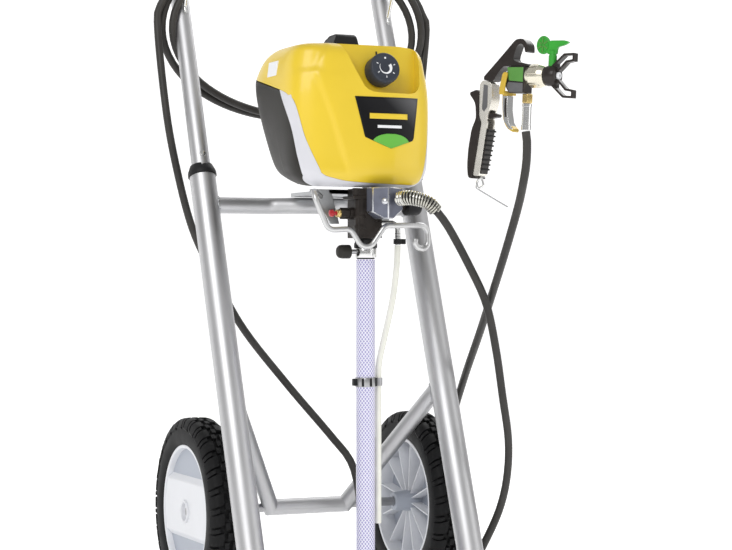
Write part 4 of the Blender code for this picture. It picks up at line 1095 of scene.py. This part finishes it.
def build_suction():
    axis = on_cart(PUMP_X, PUMP_Y, 0)
    nut = mm((0, 460.5), (11.2, 460.5), (11.8, 461.2), (11.8, 474.5), (14.5, 474.5), (15, 476), (15, 480),
        (14, 482), (13, 486.6), (0, 486.6))
    piece("suction_cap", turned(nut, 56), "black", "suction_nut", where=axis, edge=0.0003)
    band = mm((12.1, 462.2), (13.8, 462.2), (14, 462.6), (14, 473.8), (13.8, 474.2), (12.1, 474.2))
    piece("clamp_band", turned(band, 64, closed=True), "chrome", "suction_clamp", where=axis)
    screw = mm((0, 13.6), (3, 13.6), (3, 22.8), (0, 22.8))
    wing = mm((0, 22.5), (8.6, 22.5), (8.9, 23.2), (8.9, 33), (8.2, 36.8), (6.2, 39.2), (3, 40), (0, 40))
    turn = Matrix.Translation((0, 0, 0.47)) @ Matrix.Rotation(-math.pi / 2, 4, "Y")
    piece("clamp_screw", turned(screw, 32), "steel", where=axis @ turn)
    piece("clamp_wing", turned(wing, 48), "dark", where=axis @ turn, edge=0.0004)
    low, high = 0.2965, 0.3085
    strap = [(0.0124, low), (0.0134, low), (0.0136, low + 0.0004), (0.0136, high - 0.0004), (0.0134, high),
        (0.0124, high)]
    loop = pipe(0.0053, 0.0043, low + 0.001, high - 0.001, 40)
    catches = block((-0.0178, -0.003, low + 0.0015), (-0.0128, 0.003, high - 0.0015))
    for x in (-0.0085, 0.0015, 0.01):
        y = -math.sqrt(0.0136**2 - x * x)
        merged(catches, block((x - 0.0015, y - 0.001, low + 0.0006), (x + 0.0015, y + 0.0006, high - 0.0006)))
    piece("strap_catches", catches, "black", where=axis, edge=0.0003)
    piece("tube_strap", merged(turned(strap, 72, closed=True), moved(loop, (0.018, 0, 0))), "steel",
        "hose_clip", slot="chrome", where=axis)
    cup = mm((0, 14), (17.8, 14), (19, 15.2), (19, 38.5), (18.2, 40.5), (13.8, 45.6), (13, 47), (13, 51.7),
        (0, 51.7))
    strainer = piece("strainer_cup", turned(cup, 64), "black", "strainer", where=axis, edge=0.0004)
    slots = bmesh.new()
    for k in range(24):
        rib = block((-0.0007, -0.0194, 0.0175), (0.0007, -0.0182, 0.0365))
        moved(rib, turn=Matrix.Rotation(math.tau * k / 24, 4, "Z"))
        merged(slots, rib)
    slits = piece("strainer_ribs", slots, "dark", where=axis, edge=0.0002, segments=1)

    route = [CART @ Vector((PUMP_X, PUMP_Y, 0.46 - SUCTION_LENGTH * i / 34)) for i in range(35)]
    hose = piece("suction_line", swept(route, SUCTION_RADIUS, 48), "braid", "suction_hose", where=Matrix())
    drop = mm((50.5, 36, 478.5), (49, 36, 450), (43.5, 36.5, 408), (33, 37.5, 362), (25.5, 38, 330),
        (24, 38, 308), (24, 38, 200), (24, 38, 120))
    line = [CART @ p for p in smooth_route(drop, 0.01)]
    tube = piece("return_line", swept(line, RETURN_RADIUS, 28), "tube", "return_tube", where=Matrix())


def build_brackets():
    plate = merged(block((-0.036, 0.06, 0.5448), (0.048, 0.192, 0.5504)),
        block((-0.059, 0.06, 0.5448), (0.071, 0.07, 0.5504)))
    arm = mm((-58, 546), (-32, 546), (-21, 506), (-34, 506))
    mirrored = [(2 * PUMP_X - x, z) for x, z in arm]
    merged(plate, prism(arm, 0.06, 0.063), prism(mirrored, 0.06, 0.063))
    piece("pump_bracket", plate, "cast", "mount_bracket", edge=0.0006)
    wire = mm((-50, 55, 541), (-79.6, 12, 548), (-58, 10, 496.8), (-27, 10, 498.5), (-7.5, 6, 466.5),
        (19, 6, 503), (81.5, 10, 504.2), (81.5, 10, 483))
    path = rounded(wire, 0.012, 16)
    for i in range(1, 17):
        angle = math.radians(-200 * i / 16)
        path.append(Vector((0.0725 + 0.009 * math.cos(angle), 0.01, 0.483 + 0.009 * math.sin(angle))))
    hook = swept(path, 0.0036, 24)
    piece("bail_hook", hook, "wire", "bucket_hook")


# Internals, seen only with the shells off

def build_drive():
    height = GEAR_HEIGHT + 0.0345
    can = mm((0, 0), (21.5, 0), (23.5, 0.6), (26, 4), (26, 66), (23.5, 69.4), (21.5, 70), (0, 70))
    here = on_cart(PUMP_X, 0.137, height)
    piece("motor_can", along_y(turned(can, 64)), "steel", "motor", where=here)
    here = on_cart(PUMP_X, 0.0665, height)
    shaft = merged(along_y(rod(0.003, 0, 0.012)), along_y(gear_blank(0.0055, 0.0012, 12, 0.003, 0.012)))
    piece("pinion", shaft, "steel", "motor_pinion", body="motor_pinion", where=here)
    here = on_cart(PUMP_X, 0.0635, GEAR_HEIGHT)
    wheel = merged(along_y(gear_blank(0.0285, 0.0012, 62, 0, 0.009)), along_y(rod(0.006, 0.009, 0.014)),
        moved(along_y(rod(0.0085, 0.012, 0.028, 48)), (0, 0, 0.003)))
    piece("reduction_gear", wheel, "grey", "drive_gear", body="drive_gear", where=here, edge=0.0002, segments=1)
    rod_top = GEAR_HEIGHT - 0.0121
    piece("pump_piston", rod(0.005, 0.0, rod_top - PISTON_FOOT, 48), "chrome", "piston", body="piston",
        where=on_cart(PUMP_X, PUMP_Y, PISTON_FOOT), edge=0.0004)


def gear_blank(radius, depth, teeth, low, high):
    rows = []
    for z in (low, high):
        ring = []
        for i in range(teeth * 4):
            reach = radius if i % 4 < 2 else radius - depth
            angle = math.tau * i / (teeth * 4)
            ring.append((reach * math.cos(angle), reach * math.sin(angle), z))
        rows.append(ring)
    return loft(rows)


# Gun

def curved(points, steps=3):
    """The (x, z) outline with its corners eased into a smooth closed curve."""
    knots = [Vector((x, 0, z)) for x, z in points]
    count = len(knots)
    out = []
    for i in range(count):
        before, corner, after = knots[i - 1], knots[i], knots[(i + 1) % count]
        reach = min((corner - before).length, (after - corner).length) * 0.36
        start = corner + (before - corner).normalized() * reach
        end = corner + (after - corner).normalized() * reach
        for k in range(steps + 1):
            t = k / steps
            bend = start * (1 - t) ** 2 + corner * (2 * t * (1 - t)) + end * t**2
            out.append((bend.x, bend.z))
    return out


def gun_piece(*given, body="gun", **more):
    return piece(*given, body=body, where=GUN, **more)


def build_gun():
    gun_piece("gun_tube", merged(rod(0.0056, -0.065, -0.033, 48), pipe(0.006, 0.005, -0.065, -0.059, 48),
        pipe(0.006, 0.005, -0.037, -0.0332, 48)), "chrome", "fluid_tube", edge=0.0003, body="cart")
    nut = mm((0, -32.6), (6.2, -32.6), (7, -32), (7, -22.2), (6.2, -21.6), (0, -21.6))
    gun_piece("tube_nut", turned(nut, 6), "brass", "swivel_nut", edge=0.0003, body="cart")
    core = mm((-22.5, 11), (0, 11), (0, -21), (-20.7, -21), (-27.9, -10))
    gun_piece("gun_core", prism(core, -0.0105, 0.0105), "gun_black", "gun_body", slot="dark_metal", edge=0.0012,
        segments=3)
    upper = mm((-23.5, 9.8), (-1.2, 9.8), (-1.2, -7.8), (-20.5, -6))
    lower = mm((-21.5, -7.8), (-1.2, -9.2), (-1.2, -19.8), (-19.5, -19.8), (-24, -13))
    for side, low, high in (("near", -0.0112, -0.01), ("far", 0.01, 0.0112)):
        gun_piece(f"gun_panel_{side}", prism(upper, low, high), "leaf", edge=0.0004)
        gun_piece(f"gun_plate_{side}", prism(lower, low, high), "gun_grey", edge=0.0004)
    barrel = mm((0, 0.3), (10.5, 0.3), (10.8, 1.2), (10.8, 4.6), (13.2, 6), (13.8, 7.2), (14.2, 15), (14.2, 18),
        (13.4, 20.6), (12.2, 24), (11.6, 25), (0, 25))
    gun_piece("gun_collar", along_x(turned(barrel, 64)), "cream", "collar_nut")
    facets = bmesh.new()
    for k in range(8):
        pad = block((0.006, -0.0042, 0.0122), (0.0182, 0.0042, 0.0141))
        moved(pad, turn=Matrix.Rotation(math.tau * (k + 0.5) / 8, 4, "X"))
        merged(facets, pad)
    gun_piece("collar_facets", facets, "cream", edge=0.0004)

    hanger = mm((0, 11.3), (0, 14.5), (-18.9, 17.5), (-12.7, 36), (-7.4, 38.8), (-2.8, 34.5), (-1.2, 27.5),
        (2.6, 28.3), (1.8, 37.5), (-5, 44.4), (-14.8, 43.6), (-39, 18), (-57.6, -1), (-57.6, -5), (-45, -8),
        (-36, 6), (-30.6, 11.3))
    gun_piece("gun_hanger", prism(curved(hanger), -0.0084, 0.0084), "gun_black", "gun_cover", edge=0.0016,
        segments=3)
    stock = mm((-57.6, -5.3), (-45.5, -8.5), (-44.1, -30), (-47.7, -43), (-50.4, -53), (-49.1, -56),
        (-57.6, -122), (-66.6, -122), (-57.6, -56), (-61.2, -50), (-62.1, -30), (-62.1, -10))
    handle = gun_piece("gun_frame", prism(curved(stock, 2), -0.0095, 0.0095), "frame", "gun_handle",
        edge=0.0012, segments=3)
    boolean(handle, "DIFFERENCE", block((-0.06, -0.0065, -0.064), (-0.036, 0.0065, -0.0415)), GUN)
    strip = mm((-56.5, -10.5), (-50.5, -12), (-50, -38), (-54.5, -44), (-57.5, -40))
    front = mm((-49.2, -64), (-47.7, -64), (-56, -119), (-58, -119))
    gun_piece("frame_inlay", prism(strip, -0.0099, 0.0099), "gun_grey", edge=0.0004)
    gun_piece("grip_front", prism(front, -0.0078, 0.0078), "gun_black", edge=0.0004)
    ribs = bmesh.new()
    for k in range(9):
        z = -0.067 - 0.0058 * k
        x = -0.047 - (-0.06 - z) * 0.1525
        merged(ribs, block((x - 0.003, -0.0088, z - 0.001), (x + 0.0016, 0.0088, z + 0.001)))
    gun_piece("grip_ribs", ribs, "rubber", slot="gun_plastic", edge=0.0005)
    back = mm((-62.4, -16), (-74.4, -20.3), (-74.6, -23.2), (-66.4, -33), (-64.3, -52), (-70, -64),
        (-73.8, -90), (-74.2, -110), (-72.2, -125), (-61, -125), (-61, -122.3), (-66.9, -122.3), (-58, -56.3),
        (-61.6, -50.3), (-62.4, -30))
    gun_piece("grip_shell", prism(curved(back, 2), -0.0118, 0.0118), "gun_black", "grip_back", edge=0.0022,
        segments=3)

    pivot = GUN @ Matrix.Translation((-0.0265, 0, 0.001))
    blade = mm((6, 2.8), (-1, 2.8), (-5.2, -16), (-4.6, -40), (-2, -56), (4, -65), (12.5, -69.2), (13.5, -65.5),
        (5.2, -58), (2.2, -42), (2.2, -15))
    lever = piece("trigger_lever", prism(curved(blade, 2), -0.0145, 0.0145), "gold", "trigger", body="trigger",
        where=pivot, edge=0.0008)
    boolean(lever, "DIFFERENCE", block((-0.02, -0.0115, -0.0195), (0.02, 0.0115, 0.01)), pivot)
    for sign in (-1, 1):
        low, high = sorted((sign * 0.0065, sign * 0.02))
        boolean(lever, "DIFFERENCE", block((-0.02, low, -0.08), (0.02, high, -0.024)), pivot)
    skin = mm((-4, -25), (2.8, -25), (2.8, -42), (5.8, -57.2), (12.5, -66), (6.2, -65), (-1, -56), (-3.8, -40))
    piece("trigger_skin", prism(skin, -0.0069, 0.0069), "chrome", body="trigger", where=pivot, edge=0.0004)
    strip = mm((-1.2, -28), (1.8, -28), (1.8, -42), (2.6, -51), (0, -51), (-1.2, -42))
    piece("trigger_inlay", prism(strip, -0.0072, 0.0072), "gun_black", body="trigger", where=pivot, edge=0.0003)
    latch = mm((-3.5, 3.5), (-3.5, -3.5), (3, -4), (14, -2.5), (14, 1.5), (4, 3.5))
    lock_at = GUN @ Matrix.Translation((-0.052, 0, -0.0475))
    piece("safety_latch", prism(curved(latch, 2), -0.006, 0.006), "gun_black", "trigger_lock",
        body="trigger_lock", where=lock_at, edge=0.0008)

    base = mm((0, 25.3), (10.8, 25.3), (11.6, 26.2), (12.5, 28.5), (12.5, 38.2), (11.4, 40.2), (10, 41),
        (0, 41))
    guard = gun_piece("nozzle_guard", along_x(turned(base, 64)), "gun_black", "tip_guard", body="tip_guard",
        edge=0.0004)
    boolean(guard, "DIFFERENCE", moved(rod(0.0053, -0.004, 0.04, 40), (TIP_X, 0, 0)), GUN)
    wing = mm((34.5, 5), (34.5, 12.5), (50, 26.2), (64, 26.8), (64, 16.8), (54.5, 15.2), (44, 5))
    window = mm((40.5, 9.8), (40.5, 14.2), (51, 23.6), (61.8, 24.1), (61.8, 19.2), (53, 17.8), (44.2, 8.5))
    for side, sign in (("upper", 1), ("lower", -1)):
        plate = gun_piece(f"guard_wing_{side}", prism([(a, sign * b) for a, b in wing], -0.005, 0.005),
            "gun_black", body="tip_guard", edge=0.0007)
        boolean(plate, "DIFFERENCE", prism([(a, sign * b) for a, b in window], -0.02, 0.02), GUN)
    nozzle = along_x(turned(mm((1.6, 40.5), (4.8, 40.5), (4.8, 42.8), (3.8, 43.6), (1.6, 43.6)), 40,
        closed=True))
    gun_piece("nozzle_ring", nozzle, "mark", body="tip_guard", edge=0.0002)
    axis = GUN @ Matrix.Translation((TIP_X, 0, 0))
    stem = mm((0, -3.7), (4.8, -3.7), (5, -3.2), (5, 24), (4.2, 25), (4.2, 30), (0, 30))
    arrow = mm((-8, 25), (6, 25), (6, 34), (16, 36), (23, 40), (16, 42), (-8, 42))
    disc = along_y(turned(mm((0, -2.2), (10.2, -2.2), (11, -1.4), (11, 1.4), (10.2, 2.2), (0, 2.2)), 48))
    rim = along_y(turned(mm((7.8, -3), (9.2, -3), (9.2, 3), (7.8, 3)), 48, closed=True))
    spokes = bmesh.new()
    for k in range(6):
        spoke = block((-0.0008, -0.0031, 0.002), (0.0008, 0.0031, 0.0092))
        merged(spokes, moved(spoke, turn=Matrix.Rotation(math.pi * k / 3, 4, "Y")))
    at_disc = Matrix.Translation((-0.0132, 0, 0.0368)) @ Matrix.Diagonal((0.82, 1, 1, 1))
    for shape in (disc, rim, spokes):
        shape.transform(at_disc)
    piece("tip_spokes", spokes, "leaf", body="spray_tip", where=axis)
    tip = merged(turned(stem, 40), disc, rim, prism(curved(arrow, 2), -0.0022, 0.0022))
    piece("tip_key", tip, "green", "spray_tip", body="spray_tip", where=axis, edge=0.0005)

    link = mm((-64, 0, -127), (-68, 1, -136), (-56, 20, -147), (-44, 38.5, -157.5))
    wire = gun_piece("hose_wire", swept(rounded(link, 0.003, 6), 0.0009, 12), "steel", "guard_wire", body=None)
    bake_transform(wire)
    frame_ring = mm((-60, 0, -122.5), (-66.5, 0, -129), (-64, 0, -137.5), (-56, 0, -133), (-60, 0, -122.5))
    gun_piece("swivel_eye", swept(rounded(frame_ring, 0.002, 4), 0.0013, 12), "chrome")


build_stage()
build_hoses()
build_legs()
build_handle()
build_bars()
build_wheels()
build_housing()
build_pump()
build_suction()
build_brackets()
build_drive()
build_gun()
